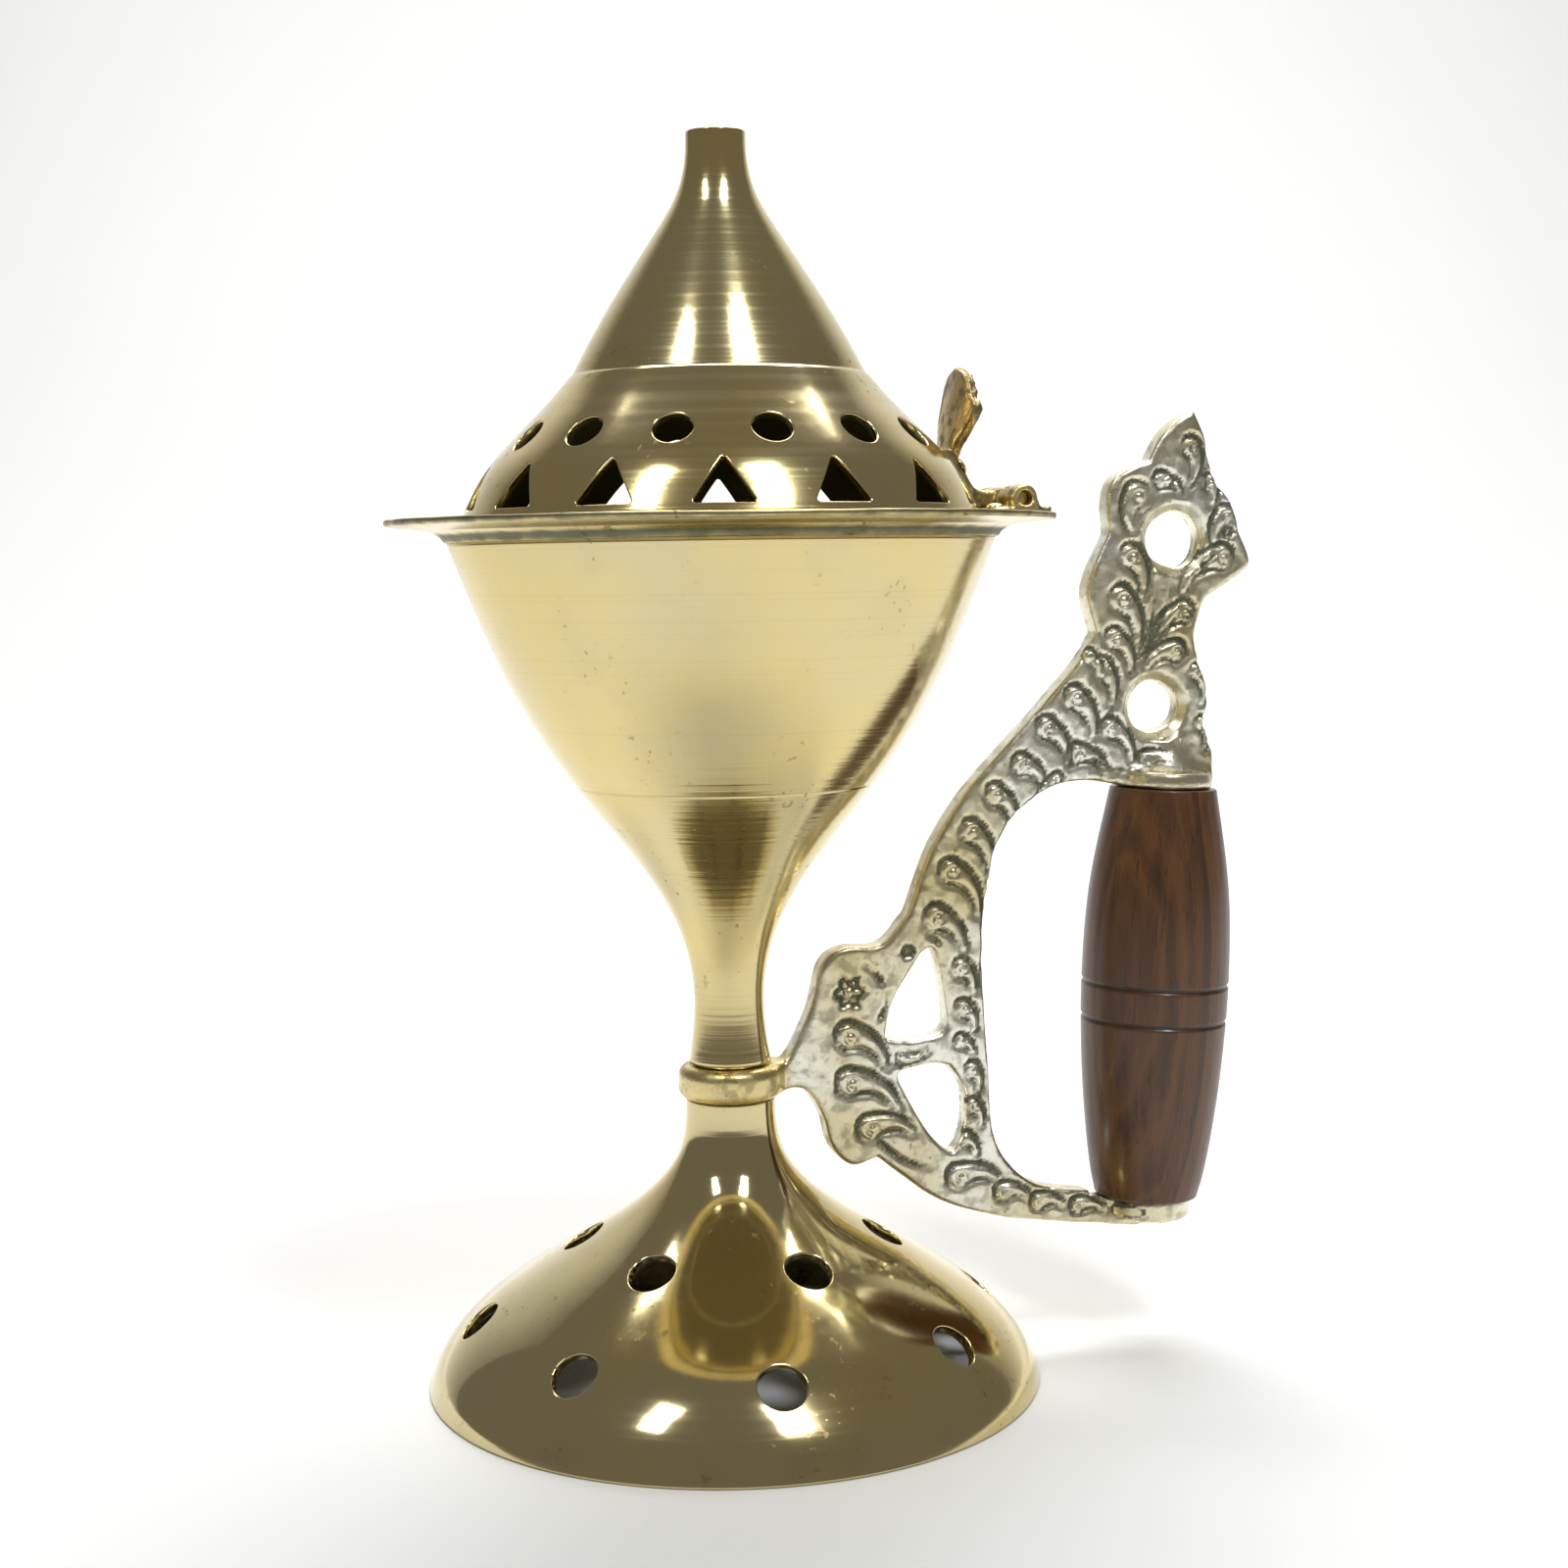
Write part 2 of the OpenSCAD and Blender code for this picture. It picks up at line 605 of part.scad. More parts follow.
foot();
stem_stud();
foot_washer();
foot_nut();
handle_casting();
grip();
grip_rod();
bowl();
rim_ring();
charcoal_screen();
hinge_base();
base_rivets();
hinge_pin();
lid();
thumb_lever();
lever_rivets();
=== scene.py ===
"""Hand censer: the looks of every piece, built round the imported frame."""
import math
from types import SimpleNamespace

import bmesh
import bpy
import numpy as np
from mathutils import Matrix, Vector
from mathutils.geometry import delaunay_2d_cdt


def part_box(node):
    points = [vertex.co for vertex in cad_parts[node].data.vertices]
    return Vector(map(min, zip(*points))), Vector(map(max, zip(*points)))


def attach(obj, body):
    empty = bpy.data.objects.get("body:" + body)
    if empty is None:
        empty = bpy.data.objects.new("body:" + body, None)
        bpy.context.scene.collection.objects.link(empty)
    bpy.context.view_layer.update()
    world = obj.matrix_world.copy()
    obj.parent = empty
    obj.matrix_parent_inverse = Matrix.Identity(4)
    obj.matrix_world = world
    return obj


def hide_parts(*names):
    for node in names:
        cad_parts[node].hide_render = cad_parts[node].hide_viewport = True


bl_info = {
    "name": "Hand censer",
    "version": (1, 0, 0),
    "blender": (4, 5, 0),
    "location": "View3D > Sidebar > Censer",
    "description": "Builds a turned brass hand censer with a pierced lid, a cast handle and a wooden grip",
    "category": "Add Mesh",
}

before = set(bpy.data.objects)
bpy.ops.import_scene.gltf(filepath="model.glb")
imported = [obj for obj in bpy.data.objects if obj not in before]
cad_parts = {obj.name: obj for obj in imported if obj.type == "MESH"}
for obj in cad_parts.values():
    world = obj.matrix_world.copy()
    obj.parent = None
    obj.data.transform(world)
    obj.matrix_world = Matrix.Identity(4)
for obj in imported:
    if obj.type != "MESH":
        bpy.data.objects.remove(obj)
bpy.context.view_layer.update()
MM = 0.001  # metres in a millimetre
TAU = 2 * math.pi


def span_mm(node):
    """Lowest and highest corner of a CAD node, in millimetres."""
    low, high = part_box(node)
    return np.array(low) / MM, np.array(high) / MM


# Places taken from the frame, in millimetres
FOOT_R = span_mm("foot")[1][0]
FOOT_H = span_mm("foot")[1][2]
BOWL_Z, MOUTH_Z = span_mm("bowl")[0][2], span_mm("bowl")[1][2]
MOUTH_R = span_mm("bowl")[1][0]
RIM_TOP = span_mm("rim_ring")[1][2]
RIM_R = span_mm("rim_ring")[1][0]
LID_Z, LID_TOP = span_mm("lid")[0][2], span_mm("lid")[1][2]
LID_R = span_mm("lid")[1][0]
HINGE_LOW, HINGE_HIGH = span_mm("hinge_pin")
HINGE_X = (HINGE_LOW[0] + HINGE_HIGH[0]) / 2
HINGE_Z = (HINGE_LOW[2] + HINGE_HIGH[2]) / 2
PIN_R = (HINGE_HIGH[2] - HINGE_LOW[2]) / 2
HINGE_W = span_mm("hinge_base")[1][1] * 2
KNUCKLE_R = span_mm("hinge_base")[1][2] - HINGE_Z
NUT_LOW, NUT_HIGH = span_mm("foot_nut")
STUD_LOW, STUD_HIGH = span_mm("stem_stud")
WASHER_LOW, WASHER_HIGH = span_mm("foot_washer")
SCREEN_LOW, SCREEN_HIGH = span_mm("charcoal_screen")
RIVET_LOW, RIVET_HIGH = span_mm("base_rivets")

# Curves as [share of the radius span, share of the height]
FOOT_CURVE = [
    (1, 0), (0.995, 0.04), (0.97, 0.09), (0.9, 0.18), (0.8, 0.27), (0.66, 0.36), (0.5, 0.455),
    (0.335, 0.545), (0.19, 0.635), (0.08, 0.73), (0.025, 0.81), (0.003, 0.89), (0, 1),
]
BOWL_CURVE = [
    (0.03, 0), (0.014, 0.045), (0, 0.13), (0.02, 0.205), (0.075, 0.28), (0.192, 0.37), (0.336, 0.455),
    (0.478, 0.535), (0.617, 0.625), (0.758, 0.735), (0.87, 0.85), (0.95, 0.94), (1, 1),
]
DOME_CURVE = [(1, 0), (0.94, 0.105), (0.775, 0.34), (0.46, 0.61), (0.185, 0.83), (0, 1)]
SPIRE_CURVE = [
    (1, 0), (0.9, 0.095), (0.695, 0.27), (0.44, 0.465), (0.21, 0.635), (0.08, 0.745), (0.017, 0.85),
    (0, 0.93), (0, 1),
]
GRIP_CURVE = [(0, 0), (0.2, 0.04), (0.52, 0.15), (0.84, 0.32), (1, 0.53), (0.82, 0.76), (0.08, 1)]
NECK_R, STEM_R, SHOULDER_R, CHIMNEY_R = 6.9, 5.3, 22.5, 4.5
DOME_H = 20.8
FOOT_THICK, BOWL_THICK, LID_THICK, SCREEN_THICK = 1.5, 1.6, 1.2, 0.8
STUD_WAY = 3.15  # radius of the way for the stud through foot, washer and collar
LOW_VENTS, HIGH_VENTS, LID_BAYS, SCREEN_ROWS = 8, 6, 14, 3
LOW_ROW, HIGH_ROW = 11.5 / 44, 22.3 / 44  # heights of the foot's two rows of vents, as shares of its own
BOWL_FLOOR, BOWL_LINE = 0.34, 0.54  # heights of the bowl's floor inside and its engraved line, as shares
LID_ROW, CHIMNEY_ROOT = 0.56, 0.82  # the round holes on the dome, and where the chimney's bore starts in the spire
TRIANGLE_RISE = 1.15  # from the lid's edge up to the triangles
TONGUE_W, STRAP_W = 11.0, 9.0  # widths of the hinge's moving knuckle and of its strap on the dome

# The handle's outline in [x, z]: runs that meet in corners
HANDLE_RUNS = [
    [(5, 44.8), (5, 49)],
    [(8, 49.2), (9.5, 51.2), (12.5, 57.3), (14.5, 64.3), (18, 66.5), (24, 66.8), (28.5, 71.3)],
    [(28.5, 71.3), (32.7, 82), (39, 91), (48, 100.1), (56.5, 109.2), (60, 114.3)],
    [(60, 114.3), (58.5, 121.5), (62.3, 130)],
    [(62.3, 130), (62, 134), (62.8, 137.8), (65.5, 140), (69, 141.3)],
    [(69, 141.3), (71, 144.8), (74, 147.8), (76.7, 149)],
    [(76.7, 149), (78.4, 145.3), (79.2, 141), (81, 137.3)],
    [(81, 137.3), (83.5, 134), (84.4, 130)],
    [(84.4, 130), (86.4, 125.4), (84.5, 123), (78.5, 119.3)],
    [(78.5, 119.3), (76.8, 114), (77.8, 109)],
    [(77.8, 109), (79.2, 104), (78.2, 99.3)],
    [(78.2, 99.3), (80, 94.3), (79.8, 90.5)],
    [(79, 89.9), (63.5, 90.2)],
    [(63.5, 90.2), (57, 91), (51, 89.5), (45.2, 84.8), (42.3, 78.3), (40.9, 70), (40.8, 60),
     (41.5, 48), (42.3, 36), (44.8, 30.5), (50, 26.4), (60, 24.4)],
    [(60, 24.4), (74, 22.7)],
    [(74.6, 22.4), (74.9, 20), (72.5, 18.3), (68, 18.2)],
    [(68, 18.2), (53, 20.2), (42.5, 22), (34, 25), (28, 29), (23, 33)],
    [(23, 33), (19, 32), (15.8, 35), (14.3, 40), (11.5, 44.4), (8, 44.8)],
]
UPPER_OPENING = [
    [(24.3, 51.7), (26, 57.8), (30.5, 65)],
    [(30.5, 65), (32.3, 65.6), (33.5, 62.3), (34.6, 55)],
    [(34.6, 55), (34, 52.3), (29, 51.3), (24.3, 51.7)],
]
LOWER_OPENING = [
    [(27, 46.4), (27, 44.3), (32, 35.8), (35.7, 33), (37.6, 37.5), (37.4, 43), (35, 46.8)],
    [(35, 46.8), (32, 47.4), (27, 46.4)],
]
EYE_HIGH, EYE_LOW = (73.4, 128.8), (70, 102.4)
GRIP_FOOT, GRIP_HEAD = (69.2, 23.0), (72.3, 89.4)
PLATE_HALF = 2.3

# Raised commas in the handle's faces: head [x, z], tail [x, z], head's radius, side that they bow to
COMMAS = [
    (18.4, 52.6, 24.4, 47.4, 1.75, 1), (18.6, 45.2, 26.3, 40.6, 1.8, 1), (21.8, 37.8, 28.8, 36.6, 1.65, 1),
    (36.4, 28.9, 43.4, 27.4, 1.6, 1), (44.0, 25.8, 48.0, 24.6, 1.25, 1), (50.0, 23.7, 54.0, 22.8, 1.15, 1),
    (56.6, 22.5, 61.2, 21.3, 1.05, 1), (63.4, 21.3, 66.6, 20.4, 0.85, 1), (27.4, 48.5, 31.2, 49.6, 0.85, -1),
    (37.2, 62.2, 38.9, 58.4, 1.25, 1), (37.4, 55.7, 39.1, 52.4, 1.2, 1), (37.0, 50.6, 38.9, 48.4, 0.85, 1),
    (38.8, 45.8, 39.7, 42.6, 1.05, 1), (38.9, 40.0, 40.0, 37.0, 1.05, 1), (37.6, 34.8, 39.2, 32.4, 0.9, 1),
    (33.0, 70.4, 37.4, 65.0, 1.6, 1), (35.4, 77.6, 40.0, 70.8, 1.6, 1), (38.9, 83.8, 41.8, 76.2, 1.5, 1),
    (43.0, 89.4, 46.0, 84.0, 1.4, 1), (47.4, 94.0, 51.2, 89.9, 1.35, 1), (51.6, 99.6, 55.0, 93.8, 1.5, 1),
    (56.8, 95.4, 61.8, 91.9, 1.3, 1), (56.4, 104.2, 59.2, 98.0, 1.6, 1), (61.0, 108.8, 62.4, 103.2, 1.35, 1),
    (62.4, 99.2, 66.0, 94.2, 1.35, 1), (68.2, 94.2, 72.6, 93.6, 0.9, 1), (77.3, 107.8, 78.0, 102.8, 1.05, 1),
    (78.0, 99.6, 78.4, 95.4, 0.85, 1), (63.2, 113.4, 65.8, 108.4, 1.35, 1), (73.4, 111.2, 68.6, 108.8, 1.45, -1),
    (64.3, 119.6, 66.7, 112.6, 1.75, 1), (74.9, 117.4, 69.6, 111.8, 1.45, -1), (65.9, 126.4, 67.6, 120.0, 1.5, 1),
    (81.4, 126.0, 74.8, 120.8, 1.7, -1), (82.0, 132.6, 80.3, 128.0, 1.3, -1), (66.8, 135.8, 66.0, 130.6, 1.75, -1),
    (71.2, 138.2, 74.4, 136.0, 1.1, 1), (79.3, 137.8, 79.6, 134.4, 1.1, 1), (76.2, 143.4, 75.9, 137.6, 1.3, 1),
    (58.9, 110.6, 60.6, 106.6, 0.9, 1), (45.4, 81.8, 43.0, 77.6, 0.8, -1), (53.4, 91.4, 50.4, 88.2, 0.8, -1),
]
# Long cuts in the handle's faces, each from one [x, z] to another
CUTS = [
    ((66.6, 110), (70.2, 122.4)), ((67.2, 110), (73.0, 122.0)), ((68.0, 110.6), (76.8, 123.4)),
    ((23.4, 35.4), (31.6, 30.6)), ((24.0, 60.6), (21.2, 63.6)), ((23.8, 55.4), (25.0, 59.0)),
    ((72.4, 136.9), (74.0, 141.0)), ((78.6, 137.2), (77.9, 141.4)), ((33.2, 66.6), (31.4, 68.0)),
    ((59.6, 94.2), (66.8, 92.3)), ((41.0, 73.0), (40.9, 67.4)), ((41.2, 64.6), (40.4, 58.0)),
    ((69.6, 124.4), (67.4, 128.6)), ((78.2, 124.6), (81.6, 129.2)), ((60.4, 100.0), (63.6, 103.6)),
]
# Flowers: [x, z] and radius
ROSETTES = [(18.7, 59.4, 2.3), (28.3, 65.4, 0.8), (82.6, 130.0, 0.8)]


# ------------------------------------------------------------------ curves


def smooth(points, per_span=6):
    """A smooth curve through the points, as an array."""
    p = np.array(points, float)
    last = len(p) - 1
    out = []
    for i in range(last):
        a, b, c, d = p[max(i - 1, 0)], p[i], p[i + 1], p[min(i + 2, last)]
        for t in np.arange(per_span) / per_span:
            out.append(0.5 * (2 * b + (c - a) * t + (2 * a - 5 * b + 4 * c - d) * t ** 2
                              + (3 * b - a - 3 * c + d) * t ** 3))
    out.append(p[last])
    return np.array(out)


def runs_outline(runs, per_span=5):
    """One closed outline from runs that meet in corners."""
    return np.concatenate([smooth(run, per_span) for run in runs])


def resample(points, count):
    """The same curve with evenly spaced points."""
    along = np.concatenate([[0], np.cumsum(np.hypot(*np.diff(points, axis=0).T))])
    at = np.linspace(0, along[-1], count)
    return np.stack([np.interp(at, along, points[:, k]) for k in (0, 1)], axis=1)


def fair(points, spread, count=500):
    """A curve with its small unevenness smoothed away over about spread mm; its ends stay."""
    dense = resample(points, count)
    step = np.hypot(*(dense[1] - dense[0]))
    reach = int(3 * spread / step)
    weights = np.exp(-0.5 * (np.arange(-reach, reach + 1) * step / spread) ** 2)
    weights /= weights.sum()
    head = 2 * dense[0] - dense[reach:0:-1]
    tail = 2 * dense[-1] - dense[-2:-reach - 2:-1]
    padded = np.concatenate([head, dense, tail])
    return np.stack([np.convolve(padded[:, k], weights, "valid") for k in (0, 1)], axis=1)


def laid(curve, r0, r1, z0, height, spread):
    """A normalised curve laid between two radii and two heights, then faired."""
    points = [(r0 + (r1 - r0) * c, z0 + height * h) for c, h in curve]
    return fair(smooth(points, 10), spread)


class Wall:
    """A turned wall: its outer curve rises, and its inner one lies a wall's thickness inside."""

    def __init__(self, curve, thickness):
        self.curve = resample(curve, len(curve))
        self.thickness = thickness
        self.length = float(np.hypot(*np.diff(self.curve, axis=0).T).sum())
        self.at = np.linspace(0, self.length, len(self.curve))
        tangent = np.gradient(self.curve, axis=0)
        tangent /= np.linalg.norm(tangent, axis=1)[:, None]
        self.normal = np.stack([tangent[:, 1], -tangent[:, 0]], axis=1)

    def point(self, s, depth=0.0):
        """Radius and height at arc length s, at a depth under the outer face."""
        s = np.asarray(s, float)
        r, z = (np.interp(s, self.at, self.curve[:, k]) for k in (0, 1))
        nr, nz = (np.interp(s, self.at, self.normal[:, k]) for k in (0, 1))
        return r - depth * nr, z - depth * nz

    def s_at(self, z):
        """Arc length where the outer curve passes a height."""
        return float(np.interp(z, self.curve[:, 1], self.at))

    def stretch(self, s0, s1, count, depth=0.0):
        """Points from s0 to s1, as an array of radius and height."""
        return np.stack(self.point(np.linspace(s0, s1, count), depth), axis=1)


FOOT_WALL = Wall(laid(FOOT_CURVE, NECK_R, FOOT_R, 0, FOOT_H, 2.2), FOOT_THICK)
BOWL_WALL = Wall(laid(BOWL_CURVE, STEM_R, MOUTH_R, BOWL_Z, MOUTH_Z - BOWL_Z, 2.6), BOWL_THICK)
DOME_WALL = Wall(laid(DOME_CURVE, SHOULDER_R, LID_R, LID_Z, DOME_H, 1.4), LID_THICK)
SPIRE_WALL = Wall(
    laid(SPIRE_CURVE, CHIMNEY_R, SHOULDER_R - 0.3, LID_Z + DOME_H, LID_TOP - LID_Z - DOME_H, 1.6), LID_THICK)


# -------------------------------------------------------------- settings


def mm_prop(name, default, description, high=20.0):
    """A length that the panel shows with its unit; default and high are in millimetres."""
    return bpy.props.FloatProperty(
        name=name, default=default * MM, min=0.0, max=high * MM, precision=5, unit="LENGTH",
        description=description)


def colour_prop(name, default, description):
    """A colour that the panel shows."""
    return bpy.props.FloatVectorProperty(
        name=name, default=default, min=0.0, max=1.0, size=3, subtype="COLOR", description=description)


class CenserSizes(bpy.types.PropertyGroup):
    """Sizes of the details"""

    foot_hole: mm_prop("Foot hole", 7.2, "Diameter of the foot's vent holes")
    lid_hole: mm_prop("Lid hole", 5.8, "Diameter of the lid's round holes")
    triangle_w: mm_prop("Triangle width", 9.0, "Width of a triangle at its base")
    triangle_h: mm_prop("Triangle height", 6.6, "Height of a triangle")
    lip: mm_prop("Lip", 0.22, "Roundness of the edges of holes and hems", 1.0)
    groove: mm_prop("Turned groove", 0.35, "Width of a line cut on the lathe", 2.0)
    relief: mm_prop("Relief", 0.7, "Depth of the scrolls in the cast handle", 1.5)
    cast_round: mm_prop("Cast edge", 0.75, "Roundness of the casting's edges", 2.0)
    cast_cell: mm_prop("Cast mesh", 0.38, "Cell size of the cast handle's mesh", 2.0)
    hinge_cell: mm_prop("Hinge mesh", 0.2, "Cell size of the hinge's mesh", 1.0)


class CenserColours(bpy.types.PropertyGroup):
    """Colours of the metals and of the wood"""

    brass: colour_prop("Polished brass", (0.67, 0.575, 0.325), "Turned and polished brass")
    brass_warm: colour_prop("Warm brass", (0.72, 0.585, 0.27), "Brass where it has turned yellow")
    tarnish: colour_prop("Tarnish", (0.34, 0.24, 0.11), "Brown spots and lines in the brass")
    cast: colour_prop("Cast brass", (0.88, 0.87, 0.76), "Pale, tumbled skin of the casting")
    # Also painted shade: the same dark on the inner faces of foot and lid and on the flange round the lid.
    patina_and_shade: colour_prop("Patina", (0.10, 0.11, 0.07), "Dark green-brown in the casting's hollows")
    wood_light: colour_prop("Wood, light", (0.135, 0.052, 0.012), "Light streaks of the grip")
    wood_dark: colour_prop("Wood, dark", (0.052, 0.019, 0.005), "Dark streaks of the grip")
    floor: colour_prop("Floor", (0.86, 0.86, 0.85), "Floor and backdrop")


class CenserStage(bpy.types.PropertyGroup):
    """Camera and lights"""

    lens: bpy.props.FloatProperty(name="Lens", default=54.0, unit="CAMERA", description="Focal length in mm")
    distance: bpy.props.FloatProperty(
        name="Distance", default=0.3577, unit="LENGTH", description="From the turning axis to the camera")
    height: bpy.props.FloatProperty(
        name="Height", default=0.1254, unit="LENGTH", description="Height of the camera above the foot's base")
    aside: bpy.props.FloatProperty(
        name="Aside", default=0.0089, unit="LENGTH", description="How far right of the axis the camera stands")
    heading: bpy.props.FloatProperty(
        name="Heading", default=math.radians(15), subtype="ANGLE", description="Camera's direction, from +Y to +X")
    tilt: bpy.props.FloatProperty(
        name="Tilt", default=math.radians(5.28), subtype="ANGLE", description="How far the camera looks down")
    overhead: bpy.props.FloatProperty(name="Overhead light", default=9.0, unit="POWER", description="Power in W")
    windows: bpy.props.FloatProperty(name="Window lights", default=7.0, unit="POWER", description="Power in W")
    room: bpy.props.FloatProperty(name="Room light", default=0.19, description="Brightness of the room around")
    roll: bpy.props.FloatProperty(
        name="Roll", default=math.radians(-0.8), subtype="ANGLE", description="Turn of the picture")


def sizes():
    """The sizes of the details, in millimetres."""
    group = bpy.context.scene.censer_sizes
    return SimpleNamespace(**{name: round(getattr(group, name) / MM, 4) for name in group.__annotations__})


def colours():
    """The colours of the metals and of the wood."""
    return bpy.context.scene.censer_colours


# ------------------------------------------------------------- mesh tools


def mesh_object(name, verts, faces, scale=MM):
    """A linked object from points in millimetres."""
    mesh = bpy.data.meshes.new(name)
    mesh.from_pydata([tuple(v) for v in np.asarray(verts, float) * scale], [], [tuple(map(int, f)) for f in faces])
    mesh.update()
    obj = bpy.data.objects.new(name, mesh)
    bpy.context.scene.collection.objects.link(obj)
    return obj


def shade(obj, sharp=35):
    """Smooth shading that keeps edges sharper than an angle in degrees."""
    obj.data.shade_smooth()
    obj.data.set_sharp_from_angle(angle=math.radians(sharp))


def weld(mesh, distance=2e-6):
    """Joins points that lie on each other."""
    work = bmesh.new()
    work.from_mesh(mesh)
    bmesh.ops.remove_doubles(work, verts=work.verts, dist=distance)
    work.to_mesh(mesh)
    work.free()
    mesh.update()


def coordinates(mesh):
    """A mesh's points as an array, in metres."""
    co = np.zeros(len(mesh.vertices) * 3)
    mesh.vertices.foreach_get("co", co)
    return co.reshape(-1, 3)


def join(name, objects):
    """One object from several, their points welded."""
    verts, faces, start = [], [], 0
    for obj in objects:
        mesh = obj.data
        verts.append(coordinates(mesh))
        faces += [[v + start for v in poly.vertices] for poly in mesh.polygons]
        start += len(mesh.vertices)
        bpy.data.objects.remove(obj)
    whole = mesh_object(name, np.concatenate(verts), faces, 1.0)
    weld(whole.data)
    return whole


def true_normals(obj, *walls):
    """Gives the points on a turned wall's faces the wall's own normal, so that reflections run clean."""
    mesh = obj.data
    co = coordinates(mesh) / MM
    radius = np.hypot(co[:, 0], co[:, 1])
    normals = np.zeros_like(co)
    for wall in walls:
        s = np.linspace(0.4, wall.length - 0.4, 4000)
        for depth, side in ((0.0, 1.0), (wall.thickness, -1.0)):
            r, z = wall.point(s, depth)
            order = np.argsort(z)
            near = order[np.clip(np.searchsorted(z[order], co[:, 2]), 0, len(s) - 1)]
            gap = np.hypot(radius - r[near], co[:, 2] - z[near])
            on = (gap < 0.03) & (radius > 0.5)
            nr = side * np.interp(s[near], wall.at, wall.normal[:, 0])
            nz = side * np.interp(s[near], wall.at, wall.normal[:, 1])
            turned = np.stack([nr * co[:, 0] / np.maximum(radius, 1e-6),
                               nr * co[:, 1] / np.maximum(radius, 1e-6), nz], axis=1)
            normals[on] = turned[on]
    mesh.normals_split_custom_set_from_vertices(normals)


# ------------------------------------------------------------ node trees


def group_input(tree, name, kind, default=None):
    """A named input on a node tree."""
    socket = tree.interface.new_socket(name=name, in_out="INPUT", socket_type=kind)
    if default is not None:
        socket.default_value = default
    return socket


def new_geometry_tree(name):
    """An empty geometry tree with its geometry in and out."""
    tree = bpy.data.node_groups.new(name, "GeometryNodeTree")
    tree.interface.new_socket(name="Geometry", in_out="INPUT", socket_type="NodeSocketGeometry")
    tree.interface.new_socket(name="Geometry", in_out="OUTPUT", socket_type="NodeSocketGeometry")
    return tree


class Wiring:
    """Adds nodes to a tree and links them, with plain values set on their sockets."""

    def __init__(self, tree):
        self.tree = tree

    def add(self, kind, settings=None, **links):
        node = self.tree.nodes.new(kind)
        for key, value in (settings or {}).items():
            setattr(node, key, value)
        for key, value in links.items():
            socket = node.inputs[int(key[1:])] if key[0] == "i" and key[1:].isdigit() else node.inputs[key]
            if isinstance(value, bpy.types.NodeSocket):
                self.tree.links.new(value, socket)
            else:
                socket.default_value = value
        return node

    def math(self, operation, a, b=0.0):
        return self.add("ShaderNodeMath", {"operation": operation}, i0=a, i1=b).outputs[0]


def finish_tree(wires, geometry, material):
    """Ends a tree in Realize Instances and Set Material."""
    real = wires.add("GeometryNodeRealizeInstances", i0=geometry)
    painted = wires.add("GeometryNodeSetMaterial", Geometry=real.outputs[0], Material=material)
    out = wires.tree.nodes.new("NodeGroupOutput")
    wires.tree.links.new(painted.outputs[0], out.inputs[0])


def lathe_tree():
    """Turns a profile, drawn as a chain of points in the XZ plane, round the Z axis."""
    tree = new_geometry_tree("Lathe")
    group_input(tree, "Segments", "NodeSocketInt", 192)
    group_input(tree, "Unevenness", "NodeSocketFloat", 0.0)
    group_input(tree, "Uneven beyond", "NodeSocketFloat", 1.0)
    group_input(tree, "Material", "NodeSocketMaterial")
    wires = Wiring(tree)
    given = tree.nodes.new("NodeGroupInput")
    count = wires.add("GeometryNodeAttributeDomainSize", Geometry=given.outputs["Geometry"]).outputs[0]
    columns = wires.math("ADD", given.outputs["Segments"], 1.0)
    grid = wires.add("GeometryNodeMeshGrid", i0=1.0, i1=1.0, i2=columns, i3=count)
    place = wires.add("GeometryNodeInputPosition").outputs[0]
    split = wires.add("ShaderNodeSeparateXYZ", i0=place)
    angle = wires.math("MULTIPLY", wires.math("ADD", split.outputs[0], 0.5), TAU)
    row = wires.math("MULTIPLY", wires.math("ADD", split.outputs[1], 0.5), wires.math("SUBTRACT", count, 1.0))
    sample = wires.add("GeometryNodeSampleIndex", {"data_type": "FLOAT_VECTOR"},
                       Geometry=given.outputs["Geometry"], Index=wires.math("ROUND", row), i1=place)
    point = wires.add("ShaderNodeSeparateXYZ", i0=sample.outputs[0])
    around = wires.add("ShaderNodeCombineXYZ", i0=wires.math("COSINE", angle), i1=wires.math("SINE", angle))
    noise = wires.add("ShaderNodeTexNoise", Vector=around.outputs[0], Scale=2.4, Detail=3.0)
    swing = wires.math("MULTIPLY", wires.math("SUBTRACT", noise.outputs[0], 0.5), given.outputs["Unevenness"])
    past = wires.math("MAXIMUM", wires.math("SUBTRACT", point.outputs[0], given.outputs["Uneven beyond"]), 0.0)
    shift = wires.math("MULTIPLY", swing, past)
    radius = wires.math("ADD", point.outputs[0], shift)
    height = wires.math("ADD", point.outputs[2], wires.math("MULTIPLY", shift, 0.7))
    moved = wires.add("ShaderNodeCombineXYZ", i0=wires.math("MULTIPLY", radius, wires.math("COSINE", angle)),
                      i1=wires.math("MULTIPLY", radius, wires.math("SINE", angle)), i2=height)
    shaped = wires.add("GeometryNodeSetPosition", Geometry=grid.outputs[0], Position=moved.outputs[0])
    closed = wires.add("GeometryNodeMergeByDistance", Geometry=shaped.outputs[0], Distance=2e-6)
    finish_tree(wires, closed.outputs[0], given.outputs["Material"])
    return tree


